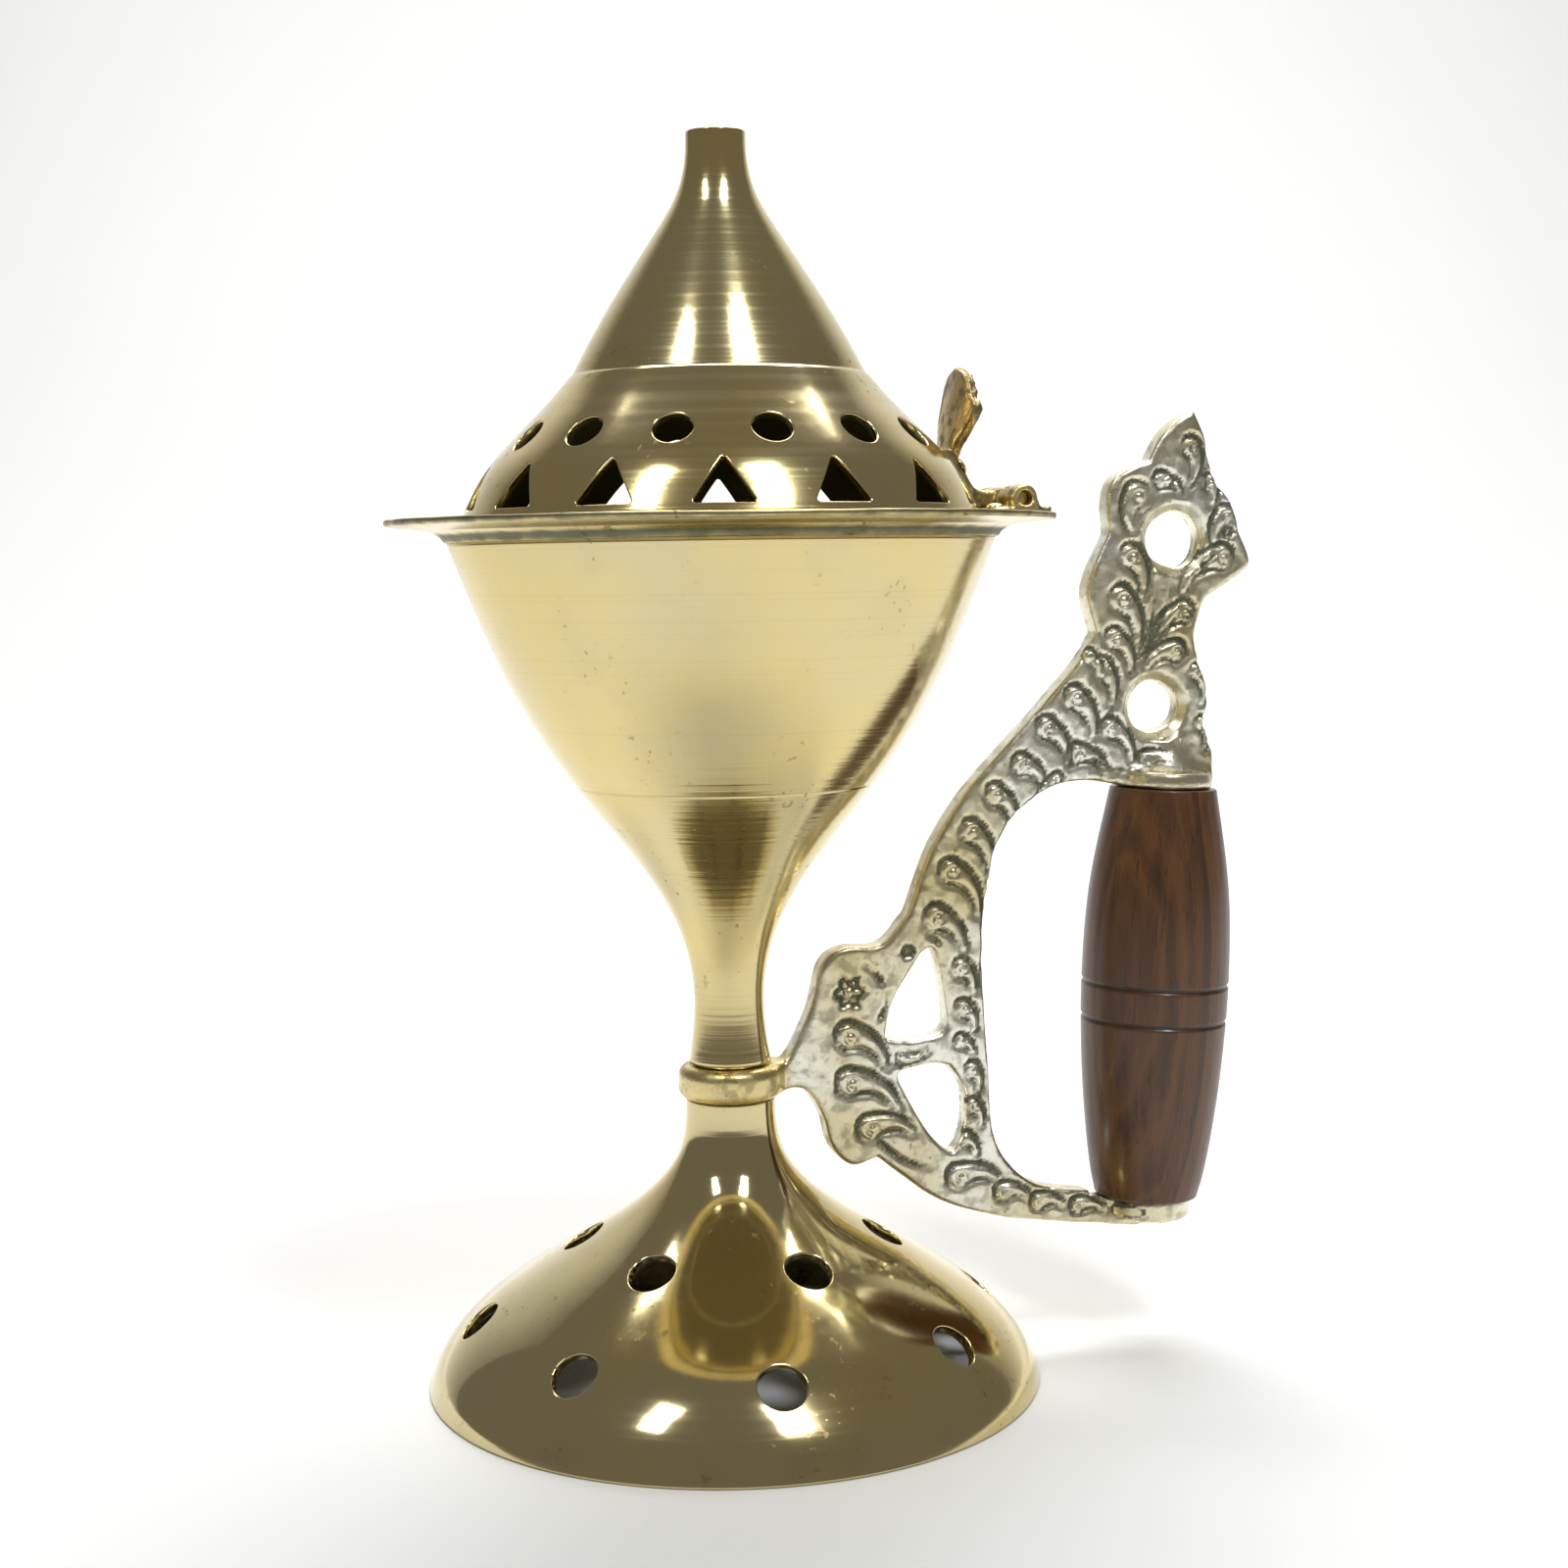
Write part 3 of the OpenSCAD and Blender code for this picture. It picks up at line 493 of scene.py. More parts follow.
def ring_tree():
    """Repeats one bay round the Z axis."""
    tree = new_geometry_tree("Ring of bays")
    group_input(tree, "Bays", "NodeSocketInt", 8)
    group_input(tree, "Start", "NodeSocketFloat", 0.0)
    group_input(tree, "Material", "NodeSocketMaterial")
    wires = Wiring(tree)
    given = tree.nodes.new("NodeGroupInput")
    points = wires.add("GeometryNodePoints", Count=given.outputs["Bays"])
    index = wires.add("GeometryNodeInputIndex").outputs[0]
    pitch = wires.math("DIVIDE", TAU, given.outputs["Bays"])
    angle = wires.math("ADD", wires.math("MULTIPLY", index, pitch), given.outputs["Start"])
    turn = wires.add("ShaderNodeCombineXYZ", i2=angle)
    placed = wires.add("GeometryNodeInstanceOnPoints", Points=points.outputs[0],
                       Instance=given.outputs["Geometry"], Rotation=turn.outputs[0])
    real = wires.add("GeometryNodeRealizeInstances", i0=placed.outputs[0])
    closed = wires.add("GeometryNodeMergeByDistance", Geometry=real.outputs[0], Distance=2e-6)
    finish_tree(wires, closed.outputs[0], given.outputs["Material"])
    return tree


def scatter_tree():
    """Puts a copy of one small piece on every point of a chain of points."""
    tree = new_geometry_tree("Copies on points")
    group_input(tree, "Piece", "NodeSocketObject")
    group_input(tree, "Scale", "NodeSocketFloat", 1.0)
    group_input(tree, "Material", "NodeSocketMaterial")
    wires = Wiring(tree)
    given = tree.nodes.new("NodeGroupInput")
    piece = wires.add("GeometryNodeObjectInfo", Object=given.outputs["Piece"])
    turn = wires.add("GeometryNodeInputNamedAttribute", {"data_type": "FLOAT_VECTOR"}, Name="turn")
    placed = wires.add("GeometryNodeInstanceOnPoints", Points=given.outputs["Geometry"],
                       Instance=piece.outputs["Geometry"], Rotation=turn.outputs[0],
                       Scale=given.outputs["Scale"])
    finish_tree(wires, placed.outputs[0], given.outputs["Material"])
    return tree


def tree_named(name, maker):
    """The node tree of that name, made the first time it is asked for."""
    return bpy.data.node_groups.get(name) or maker()


def grown(obj, tree, **values):
    """The object's mesh after a geometry tree, as a plain mesh without the modifier."""
    modifier = obj.modifiers.new("Grow", "NODES")
    modifier.node_group = tree
    for item in tree.interface.items_tree:
        if item.item_type == "SOCKET" and item.in_out == "INPUT" and values.get(item.name) is not None:
            modifier[item.identifier] = values[item.name]
    bpy.context.view_layer.update()
    graph = bpy.context.evaluated_depsgraph_get()
    mesh = bpy.data.meshes.new_from_object(obj.evaluated_get(graph), preserve_all_data_layers=True,
                                           depsgraph=graph)
    obj.modifiers.remove(modifier)
    old, obj.data = obj.data, mesh
    bpy.data.meshes.remove(old)
    mesh.name = obj.name
    return obj


def turned(name, profile, material, segments=192, uneven=0.0, beyond=1e3):
    """A turned piece from a profile of [radius, height] in mm, up the outside and down the inside."""
    profile = np.asarray(profile, float)
    verts = np.stack([profile[:, 0], np.zeros(len(profile)), profile[:, 1]], axis=1)
    mesh = bpy.data.meshes.new(name)
    mesh.from_pydata((verts * MM).tolist(), [(i, i + 1) for i in range(len(verts) - 1)], [])
    obj = bpy.data.objects.new(name, mesh)
    bpy.context.scene.collection.objects.link(obj)
    return grown(obj, tree_named("Lathe", lathe_tree), Segments=segments, Unevenness=uneven,
                 **{"Uneven beyond": beyond * MM}, Material=material)


def ring_of_bays(name, bay, bays, start, material):
    """A whole ring from one bay's points and faces."""
    obj = mesh_object(name, *bay)
    return grown(obj, tree_named("Ring of bays", ring_tree), Bays=bays, Start=start, Material=material)


# ---------------------------------------------------------- pierced walls


def round_hole(radius, corners=40):
    """Outline of a round hole, grown by e: points along the wall and round it."""
    angles = np.arange(corners) * TAU / corners

    def outline(e):
        return (radius + e) * np.stack([np.cos(angles), np.sin(angles)], axis=1)

    return outline


def triangle_hole(width, height, soft=0.35, per_corner=5, per_side=7):
    """Outline of a triangular window with softened corners, grown by e, its middle at mid height."""
    corners = np.array([(-height / 2, -width / 2), (-height / 2, width / 2), (height / 2, 0)])
    centre = corners.mean(axis=0)

    def outward(a, b):
        edge = (b - a) / np.linalg.norm(b - a)
        normal = np.array([edge[1], -edge[0]])
        return normal if normal @ ((a + b) / 2 - centre) > 0 else -normal

    def outline(e):
        points = []
        for i in range(3):
            before, here, after = corners[i - 1], corners[i], corners[(i + 1) % 3]
            first, second = outward(before, here), outward(here, after)
            pivot = here - soft * (first + second) / (1 + first @ second)
            for t in np.linspace(0, 1, per_corner):
                mix = first * (1 - t) + second * t
                points.append(pivot + (soft + e) * mix / np.linalg.norm(mix))
        dense = []
        for i, p in enumerate(points):
            q = points[(i + 1) % len(points)]
            dense.append(p)
            if i % per_corner == per_corner - 1:
                dense += [p + (q - p) * k / per_side for k in range(1, per_side)]
        return np.array(dense)

    return outline


def inside_outline(points, outline):
    """Which points lie inside a closed outline."""
    odd = np.zeros(len(points), bool)
    for a, b in zip(outline, np.roll(outline, -1, axis=0)):
        if a[1] == b[1]:
            continue
        crosses = (a[1] > points[:, 1]) != (b[1] > points[:, 1])
        at = a[0] + (points[:, 1] - a[1]) * (b[0] - a[0]) / (b[1] - a[1])
        odd ^= crosses & (points[:, 0] < at)
    return odd


def pierced_bay(wall, s0, s1, bays, steps, rows, middle, hole, lip):
    """One bay of a pierced ring, as points and faces: outer face, inner face and the hole's rounded wall."""
    width = TAU / bays
    reference = float(wall.point((s0 + s1) / 2)[0])
    across = (np.arange(steps + 1) - steps // 2) / steps * width
    along = np.linspace(s0, s1, rows + 1)

    def on_wall(e):
        ring = hole(e)
        s = middle + ring[:, 0]
        return np.stack([s, ring[:, 1] / wall.point(s)[0]], axis=1)

    border = [(s0, a) for a in across] + [(s, across[-1]) for s in along[1:]]
    border += [(s1, a) for a in across[-2::-1]] + [(s, across[0]) for s in along[-2:0:-1]]
    ring, guard = on_wall(lip), on_wall(lip * 3.0)
    keep_off = on_wall(lip * 3.0 + 0.35 * (s1 - s0) / rows)
    fill = np.array([(s, a) for s in along[1:-1] for a in across[1:-1]])
    scale = np.array([1.0, reference])
    fill = fill[~inside_outline(fill * scale, keep_off * scale)]
    flat = np.concatenate([border, ring, guard, fill])
    n, m = len(border), len(ring)
    edges = [(i, (i + 1) % n) for i in range(n)]
    for start in (n, n + m):
        edges += [(start + i, start + (i + 1) % m) for i in range(m)]
    found, _, faces, *_ = delaunay_2d_cdt([Vector(p) for p in flat * scale], edges, [], 0, 1e-7)
    points = flat
    if len(found) != len(flat) or np.abs(np.array([tuple(p) for p in found]) - flat * scale).max() > 1e-3:
        raise RuntimeError("the bay's points moved while it was meshed")
    middles = np.array([points[list(f)].mean(axis=0) for f in faces])
    solid = ~inside_outline(middles * scale, ring * scale)
    faces = [tuple(f) for f, keep in zip(faces, solid) if keep]

    def space(pairs, depth):
        r, z = wall.point(pairs[:, 0], depth)
        return np.stack([r * np.cos(pairs[:, 1]), r * np.sin(pairs[:, 1]), z], axis=1)

    outer, inner = space(points, 0.0), space(points, wall.thickness)
    bends = [(lip * (1 - math.sin(t)), lip * (1 - math.cos(t))) for t in np.radians([30, 60, 90])]
    rings = [space(on_wall(e), depth) for e, depth in bends]
    rings += [space(on_wall(e), wall.thickness - depth) for e, depth in bends[::-1]]
    verts = np.concatenate([outer, inner] + rings)
    count = len(points)
    order = [np.arange(n, n + m)] + [2 * count + k * m + np.arange(m) for k in range(len(rings))]
    order.append(count + np.arange(n, n + m))
    out_faces = []
    a, b, c = outer[list(faces[0])]
    at = points[list(faces[0])].mean(axis=0)
    nr, nz = (np.interp(at[0], wall.at, wall.normal[:, k]) for k in (0, 1))
    flip = np.cross(b - a, c - a) @ np.array([nr * math.cos(at[1]), nr * math.sin(at[1]), nz]) < 0
    for f in faces:
        f = f[::-1] if flip else f
        out_faces += [f, tuple(count + i for i in f[::-1])]
    hole_faces = []
    for first, second in zip(order, order[1:]):
        for i in range(m):
            j = (i + 1) % m
            hole_faces.append((first[i], first[j], second[j], second[i]))
    centre = space(np.array([(middle, 0.0)]), wall.thickness / 2)[0]
    quad = verts[list(hole_faces[m * 3])]
    facing = np.cross(quad[1] - quad[0], quad[2] - quad[0]) @ (centre - quad.mean(axis=0))
    if facing < 0:
        hole_faces = [f[::-1] for f in hole_faces]
    return verts, out_faces + hole_faces


# ------------------------------------------------------------ cast pieces


def outline_distance(x, z, outline):
    """Signed distance from a grid of [x, z] to a closed outline, negative inside."""
    points = np.stack(np.meshgrid(x, z, indexing="ij"), axis=-1).reshape(-1, 2)
    best = np.full(len(points), 1e9)
    for a, b in zip(outline, np.roll(outline, -1, axis=0)):
        edge = b - a
        if edge @ edge < 1e-12:
            continue
        t = np.clip(((points - a) @ edge) / (edge @ edge), 0, 1)
        best = np.minimum(best, ((points - a - t[:, None] * edge) ** 2).sum(axis=1))
    sign = np.where(inside_outline(points, outline), -1.0, 1.0)
    return (np.sqrt(best) * sign).reshape(len(x), len(z))


def blend_in(a, b, soft):
    """The union of two distance fields with a fillet of about soft mm."""
    h = np.clip(0.5 + 0.5 * (b - a) / soft, 0, 1)
    return b * (1 - h) + a * h - soft * h * (1 - h)


def rounded(d_side, d_face, r):
    """A plate's distance from the distances to its outline and its faces, with edges rounded by r."""
    a, b = d_side + r, d_face + r
    return np.hypot(np.maximum(a, 0), np.maximum(b, 0)) + np.minimum(np.maximum(a, b), 0) - r


def soft_noise(shape, cells, seed):
    """Smooth noise of about -1 to 1 on a grid, with lumps cells wide."""
    rng = np.random.default_rng(seed)
    coarse = rng.uniform(-1, 1, [int(n / cells) + 3 for n in shape])
    out = coarse
    for axis, n in enumerate(shape):
        at = np.arange(n) / cells
        i = at.astype(int)
        t = at - i
        t = t * t * (3 - 2 * t)
        t = t.reshape([-1 if k == axis else 1 for k in range(len(shape))])
        out = np.take(out, i, axis) * (1 - t) + np.take(out, i + 1, axis) * t
    return out


def net_surface(field, low, cell):
    """Points and quads on the zero surface of a distance field, negative inside."""
    inside = field < 0
    corners = [inside[i:i - 1 or None, j:j - 1 or None, k:k - 1 or None]
               for i in (0, 1) for j in (0, 1) for k in (0, 1)]
    total = sum(c.astype(np.int8) for c in corners)
    active = (total > 0) & (total < 8)
    cells = np.argwhere(active)
    number = np.full(active.shape, -1, np.int64)
    number[active] = np.arange(len(cells))
    value = np.empty((len(cells), 2, 2, 2))
    for i in (0, 1):
        for j in (0, 1):
            for k in (0, 1):
                value[:, i, j, k] = field[cells[:, 0] + i, cells[:, 1] + j, cells[:, 2] + k]
    place, hits = np.zeros((len(cells), 3)), np.zeros(len(cells))
    for axis in range(3):
        first, second = np.take(value, 0, axis + 1), np.take(value, 1, axis + 1)
        for j in (0, 1):
            for k in (0, 1):
                a, b = first[:, j, k], second[:, j, k]
                cut = (a < 0) != (b < 0)
                t = np.where(cut, a / np.where(cut, a - b, 1), 0)
                spot = np.zeros((len(cells), 3))
                spot[:, axis] = t
                others = [m for m in range(3) if m != axis]
                spot[:, others[0]], spot[:, others[1]] = j, k
                place[cut] += spot[cut]
                hits[cut] += 1
    verts = np.asarray(low) + (cells + place / hits[:, None]) * cell
    faces = []
    for axis in range(3):
        a = inside.take(range(inside.shape[axis] - 1), axis)
        b = inside.take(range(1, inside.shape[axis]), axis)
        change = np.argwhere(a != b)
        u, v = [m for m in range(3) if m != axis]
        change = change[(change[:, u] > 0) & (change[:, v] > 0)
                        & (change[:, u] < inside.shape[u] - 1) & (change[:, v] < inside.shape[v] - 1)]
        quad = []
        for du, dv in ((1, 1), (0, 1), (0, 0), (1, 0)):
            spot = change.copy()
            spot[:, u] -= du
            spot[:, v] -= dv
            quad.append(number[spot[:, 0], spot[:, 1], spot[:, 2]])
        quad = np.stack(quad, axis=1)
        solid_first = inside[change[:, 0], change[:, 1], change[:, 2]]
        turn = solid_first if axis != 1 else ~solid_first
        quad[~turn] = quad[~turn][:, ::-1]
        faces.append(quad)
    return verts, np.concatenate(faces)


def cast_object(name, verts, faces):
    """A smooth-shaded object from a net."""
    obj = mesh_object(name, verts, faces)
    obj.data.shade_smooth()
    return obj


def relief_map(x, z, depth):
    """How deep the faces are cut at a grid of [x, z]: positive in grooves, negative on raised parts."""
    cut = np.zeros((len(x), len(z)))
    lift = np.zeros_like(cut)

    def window(px, pz, reach):
        i = np.flatnonzero(np.abs(x - px) < reach)
        k = np.flatnonzero(np.abs(z - pz) < reach)
        where = slice(i[0], i[-1] + 1), slice(k[0], k[-1] + 1)
        return where, x[where[0]][:, None], z[where[1]][None]

    def to_path(path, radii, gx, gz):
        """Distance to a tapering path, and how far along it the nearest place is."""
        best, share = np.full((gx.shape[0], gz.shape[1]), 1e9), 0.0
        for n, (a, b) in enumerate(zip(path, path[1:])):
            e = b - a
            t = np.clip(((gx - a[0]) * e[0] + (gz - a[1]) * e[1]) / (e @ e), 0, 1)
            d = np.hypot(gx - a[0] - t * e[0], gz - a[1] - t * e[1]) - radii[n] * (1 - t) - radii[n + 1] * t
            share = np.where(d < best, (n + t) / (len(path) - 1), share)
            best = np.minimum(best, d)
        return best, share

    for hx, hz, tx, tz, r, hand in COMMAS:
        head, tail = np.array((hx, hz)), np.array((tx, tz))
        bow = (head + tail) / 2 + hand * 0.34 * np.array((head[1] - tail[1], tail[0] - head[0]))
        t = np.linspace(0, 1, 9)[:, None]
        path = (1 - t) ** 2 * head + 2 * t * (1 - t) * bow + t ** 2 * tail
        radii = r * (1 - 0.86 * t[:, 0] ** 0.7)
        where, gx, gz = window(*(head + tail) / 2, np.abs(tail - head).max() / 2 + r + 2.2)
        d, share = to_path(path, radii, gx, gz)
        wide = 0.24 + 0.15 * r
        groove = np.exp(-np.abs((d - wide) / wide) ** 2.6) * (1 - 0.45 * share)
        side = ((gx - hx) * (tz - hz) - (gz - hz) * (tx - hx)) * hand / np.hypot(*(tail - head))
        groove = groove * np.clip(0.8 - 0.28 * side / r, 0.3, 1.0)
        eye = np.hypot(gx - hx - 0.25 * r, gz - hz + 0.15 * r)
        hook = np.exp(-((eye - 0.5 * r) / (0.16 * r)) ** 2) * (d < 0) * np.clip(1 - 1.6 * share, 0, 1)
        cut[where] = np.maximum(cut[where], np.maximum(groove, 0.6 * hook))
        lift[where] = np.maximum(lift[where], np.sqrt(np.clip(-d / r, 0, 1)) * (1 - 0.5 * share))
    for a, b in CUTS:
        a, b = np.array(a, float), np.array(b, float)
        where, gx, gz = window(*((a + b) / 2), np.abs(b - a).max() / 2 + 2)
        bow = (a + b) / 2 + np.array([b[1] - a[1], a[0] - b[0]]) * 0.08
        path = smooth([a, bow, b], 4)
        d, share = to_path(path, np.zeros(len(path)), gx, gz)
        cut[where] = np.maximum(cut[where], 0.8 * np.exp(-(d / 0.42) ** 2) * (1 - 0.5 * share))
    for px, pz, r in ROSETTES:
        where, gx, gz = window(px, pz, r + 1.6)
        rho, turn = np.hypot(gx - px, gz - pz), np.arctan2(gz - pz, gx - px)
        petals = r * (0.82 + 0.18 * np.cos(6 * turn))
        ring = np.exp(-((rho - petals) / 0.4) ** 2)
        core = 0.6 * np.exp(-((rho - 0.38 * r) / 0.25) ** 2)
        cut[where] = np.maximum(cut[where], np.maximum(ring, core))
        lift[where] = np.maximum(lift[where], 0.7 * np.clip(1 - rho / petals, 0, 1) ** 0.5)
    return depth * (cut - 0.42 * lift * (1 - cut))


def grip_frame():
    """The grip's foot point, its axis and its length, in mm."""
    foot, head = np.array(GRIP_FOOT, float), np.array(GRIP_HEAD, float)
    length = float(np.linalg.norm(head - foot))
    return foot, (head - foot) / length, length


def eyelet_cut(gx, gy, gz, centre, radius, seed, sink=1.5, sink_depth=1.7):
    """Distance to an eyelet's countersunk hole, a little out of round."""
    angle = np.arctan2(gz - centre[1], gx - centre[0])
    rng = np.random.default_rng(seed)
    wave = sum(rng.uniform(-0.16, 0.16) * np.cos(k * angle + rng.uniform(0, TAU)) for k in (2, 3, 5))
    rho = np.hypot(gx - centre[0], gz - centre[1])
    front = np.maximum(-gy - (PLATE_HALF - sink_depth), 0) * sink / sink_depth
    back = np.maximum(gy - (PLATE_HALF - 0.5), 0) * 0.8
    return (rho - (radius + wave + front + back)) * 0.8


def handle_casting(step):
    """Net of the handle: collar, plate, arm, lug, ornament and lower arm as one casting."""
    low, high = span_mm("handle_casting")
    low, high = low - 4 * step, high + 4 * step
    x, y, z = (np.arange(low[k], high[k], step) for k in range(3))
    plan = outline_distance(x, z, runs_outline(HANDLE_RUNS))
    for opening in (UPPER_OPENING, LOWER_OPENING):
        plan = np.maximum(plan, -outline_distance(x, z, runs_outline(opening)))
    plan += 0.12 * soft_noise(plan.shape, 5.0 / step, 3)
    cut = relief_map(x, z, sizes().relief)
    cut += 0.09 * np.maximum(soft_noise(cut.shape, 0.95 / step, 4) - 0.1, 0)
    cut += 0.05 * soft_noise(cut.shape, 1.6 / step, 5)
    half = PLATE_HALF - np.maximum(cut, -0.3)
    gx, gy, gz = x[:, None, None], y[None, :, None], z[None, None, :]
    field = rounded(plan[:, None, :], np.abs(gy) - half[:, None, :], sizes().cast_round)

    collar_mid, collar_half = (FOOT_H + BOWL_Z) / 2, (BOWL_Z - FOOT_H) / 2
    rho = np.hypot(gx, gy)
    bead = rounded(np.abs(rho - 5.5) - 2.5, np.abs(gz - collar_mid) - collar_half, 1.7)
    field = blend_in(field, bead, 1.6)

    foot, axis, length = grip_frame()
    along = (gx - foot[0]) * axis[0] + (gz - foot[1]) * axis[1]
    aside = (gx - foot[0]) * axis[1] - (gz - foot[1]) * axis[0]
    lug_rho = np.hypot(aside, gy)
    disc = rounded(lug_rho - 7.5, np.abs(along - length - 1.3) - 1.3, 0.8)
    flare_r = 2.6 + 4.6 * np.clip(1 - (along - length - 1.2) / 6.4, 0, 1) ** 1.7
    flare = np.maximum(lug_rho - flare_r, np.abs(along - length - 3.9) - 3.8) * 0.8
    field = blend_in(field, blend_in(disc, flare, 1.0), 1.4)
    tab = rounded(np.hypot(aside, gy * 1.22) - 7.2, np.abs(along + 1.8) - 1.8, 0.9)
    field = blend_in(field, tab, 1.6)

    field = np.maximum(field, -np.maximum(lug_rho - 10.6, np.abs(along - length / 2) - length / 2))
    field = np.maximum(field, np.minimum(2.55 - lug_rho, length / 2 + 6.5 - np.abs(along - length / 2 - 1)))
    field = np.maximum(field, STUD_WAY - rho)
    above = np.maximum(rho - 7.4, collar_half - np.abs(gz - collar_mid))
    field = np.maximum(field, -above)
    field = np.maximum(field, -eyelet_cut(gx, gy, gz, EYE_HIGH, 4.4, 1))
    field = np.maximum(field, -eyelet_cut(gx, gy, gz, EYE_LOW, 4.1, 2))
    verts, faces = net_surface(field, (x[0], y[0], z[0]), step)
    i = np.clip(((verts[:, 0] - x[0]) / step).round().astype(int), 0, len(x) - 1)
    k = np.clip(((verts[:, 2] - z[0]) / step).round().astype(int), 0, len(z) - 1)
    hollow = np.clip(cut[i, k] / sizes().relief, 0, 1) * (np.abs(verts[:, 1]) > 0.8)
    return verts, faces, hollow


def knuckle(gx, gy, gz, y_mid, width):
    """Distance to one hinge knuckle, not yet bored for the pin."""
    rho = np.hypot(gx - HINGE_X, gz - HINGE_Z)
    return rounded(rho - KNUCKLE_R, np.abs(gy - y_mid) - width / 2, 0.35)


def hinge_grid(low, high, step):
    """The three axes of a grid, and the same as arrays that combine into the whole grid."""
    x, y, z = (np.arange(a, b, step) for a, b in zip(low, high))
    return (x, y, z), (x[:, None, None], y[None, :, None], z[None, None, :])


def hinge_base(step):
    """Net of the fixed half of the hinge: plate, two ears and two knuckles, rough cast."""
    low, high = span_mm("hinge_base")
    axes, (gx, gy, gz) = hinge_grid(low - 1, high + 1, step)
    knuckle_w = (HINGE_W - TONGUE_W) / 2 - 0.3
    rho = np.hypot(gx, gy)
    plate = np.maximum(rounded(np.maximum(HINGE_X - gx, rho - (RIM_R - 0.4)), np.abs(gy) - HINGE_W / 2, 0.5),
                       np.abs(gz - RIM_TOP - 0.5) - 0.5)
    field = plate
    for side in (-1, 1):
        mid = side * (HINGE_W - knuckle_w) / 2
        ear = rounded(np.maximum(np.abs(gx - (LID_R + 0.4 + HINGE_X) / 2) - (HINGE_X - LID_R - 0.4) / 2,
                                 np.abs(gy - mid) - knuckle_w / 2), np.abs(gz - RIM_TOP - 0.45) - 0.55, 0.4)
        heel = rounded(np.maximum(np.abs(gx - HINGE_X - 0.9) - 1.2, np.abs(gy - mid) - knuckle_w / 2),
                       np.abs(gz - RIM_TOP - 0.9) - 1.0, 0.4)
        field = blend_in(field, blend_in(ear, heel, 0.8), 0.8)
        field = blend_in(field, knuckle(gx, gy, gz, mid, knuckle_w), 0.8)
    field = field + 0.12 * soft_noise(field.shape, 1.5 / step, 11)
    room_half = TONGUE_W / 2 + 0.3
    room = np.maximum(np.hypot(gx - HINGE_X, gz - HINGE_Z) - KNUCKLE_R - 0.25, np.abs(gy) - room_half)
    field = np.maximum(field, -room)
    field = np.maximum(field, np.where(np.abs(gy) < room_half, HINGE_X - 0.5 - gx, -9.0))
    field = np.maximum(field, PIN_R - np.hypot(gx - HINGE_X, gz - HINGE_Z))
    field = np.maximum(field, RIM_TOP + 0.02 - gz)
    return net_surface(field, [a[0] for a in axes], step)


def leaf_outline():
    """Half outline of the thumb leaf, width and height from its root, both sides."""
    side = smooth([(2.8, -1), (3.4, 1.0), (5.2, 3.2), (7.6, 6.0), (7.9, 8.2), (6.4, 9.4), (5.9, 10.6),
                   (3.6, 13.0), (0, 14.2)], 4)
    return np.concatenate([side, side[-2::-1] * np.array([-1, 1])])


def thumb_lever(step):
    """Net of the moving half of the hinge: knuckle, tongue, strap on the dome and thumb leaf."""
    low, high = span_mm("thumb_lever")
    axes, (gx, gy, gz) = hinge_grid(low - 1.2, high + 1.2, step)
    field = knuckle(gx, gy, gz, 0.0, TONGUE_W)
    tongue = rounded(np.maximum(np.abs(gx - (LID_R + HINGE_X) / 2) - (HINGE_X - LID_R) / 2 - 0.4,
                                np.abs(gy) - STRAP_W / 2),
                     np.abs(gz - HINGE_Z - 0.1) - 1.3, 0.5)
    field = blend_in(field, tongue, 1.0)
    rho = np.hypot(gx, gy)
    dome_r = np.interp(axes[2], DOME_WALL.curve[:, 1], DOME_WALL.curve[:, 0])
    slope = np.gradient(dome_r, axes[2])
    off = (rho - dome_r[None, None, :]) / np.sqrt(1 + slope ** 2)[None, None, :]
    low_z, high_z = LID_Z + 0.8, LID_Z + 9.8
    strap = rounded(np.maximum(np.abs(gy) - STRAP_W / 2, np.abs(gz - (low_z + high_z) / 2) - (high_z - low_z) / 2),
                    np.abs(off - 0.9) - 0.9, 0.5)
    field = blend_in(field, strap, 1.0)
    root_z = LID_Z + 8.6
    root_x = float(np.interp(root_z, DOME_WALL.curve[:, 1], DOME_WALL.curve[:, 0])) + 1.17
    lean = math.radians(9)
    up = (gx - root_x) * math.sin(lean) + (gz - root_z) * math.cos(lean)
    out = (gx - root_x) * math.cos(lean) - (gz - root_z) * math.sin(lean)
    ys, ups = axes[1], np.arange(-3, 17, step)
    plan = outline_distance(ys, ups, leaf_outline())
    pick = np.clip(((up - ups[0]) / step).round().astype(int), 0, len(ups) - 1)
    side = plan[np.arange(len(ys))[None, :, None], pick]
    vein = np.exp(-(np.abs(gy) / 0.45) ** 2)
    barbs = np.sin((up - 0.9 * np.abs(gy)) * TAU / 2.3)
    face = 0.28 * vein + 0.16 * np.maximum(barbs, 0) * np.clip(np.abs(gy) / 1.5, 0, 1)
    bow = 0.02 * gy ** 2
    leaf = rounded(side, np.maximum(-(out - bow), out - bow - 2.0 + 0.3 - face), 0.5)
    field = blend_in(field, leaf, 0.9)
    field = field + 0.07 * soft_noise(field.shape, 1.3 / step, 12)
    field = np.maximum(field, 0.02 - off - 50 * (gz > LID_Z + DOME_H))
    field = np.maximum(field, PIN_R + 0.05 - np.hypot(gx - HINGE_X, gz - HINGE_Z))
    return net_surface(field, [a[0] for a in axes], step)


# -------------------------------------------------------------- materials


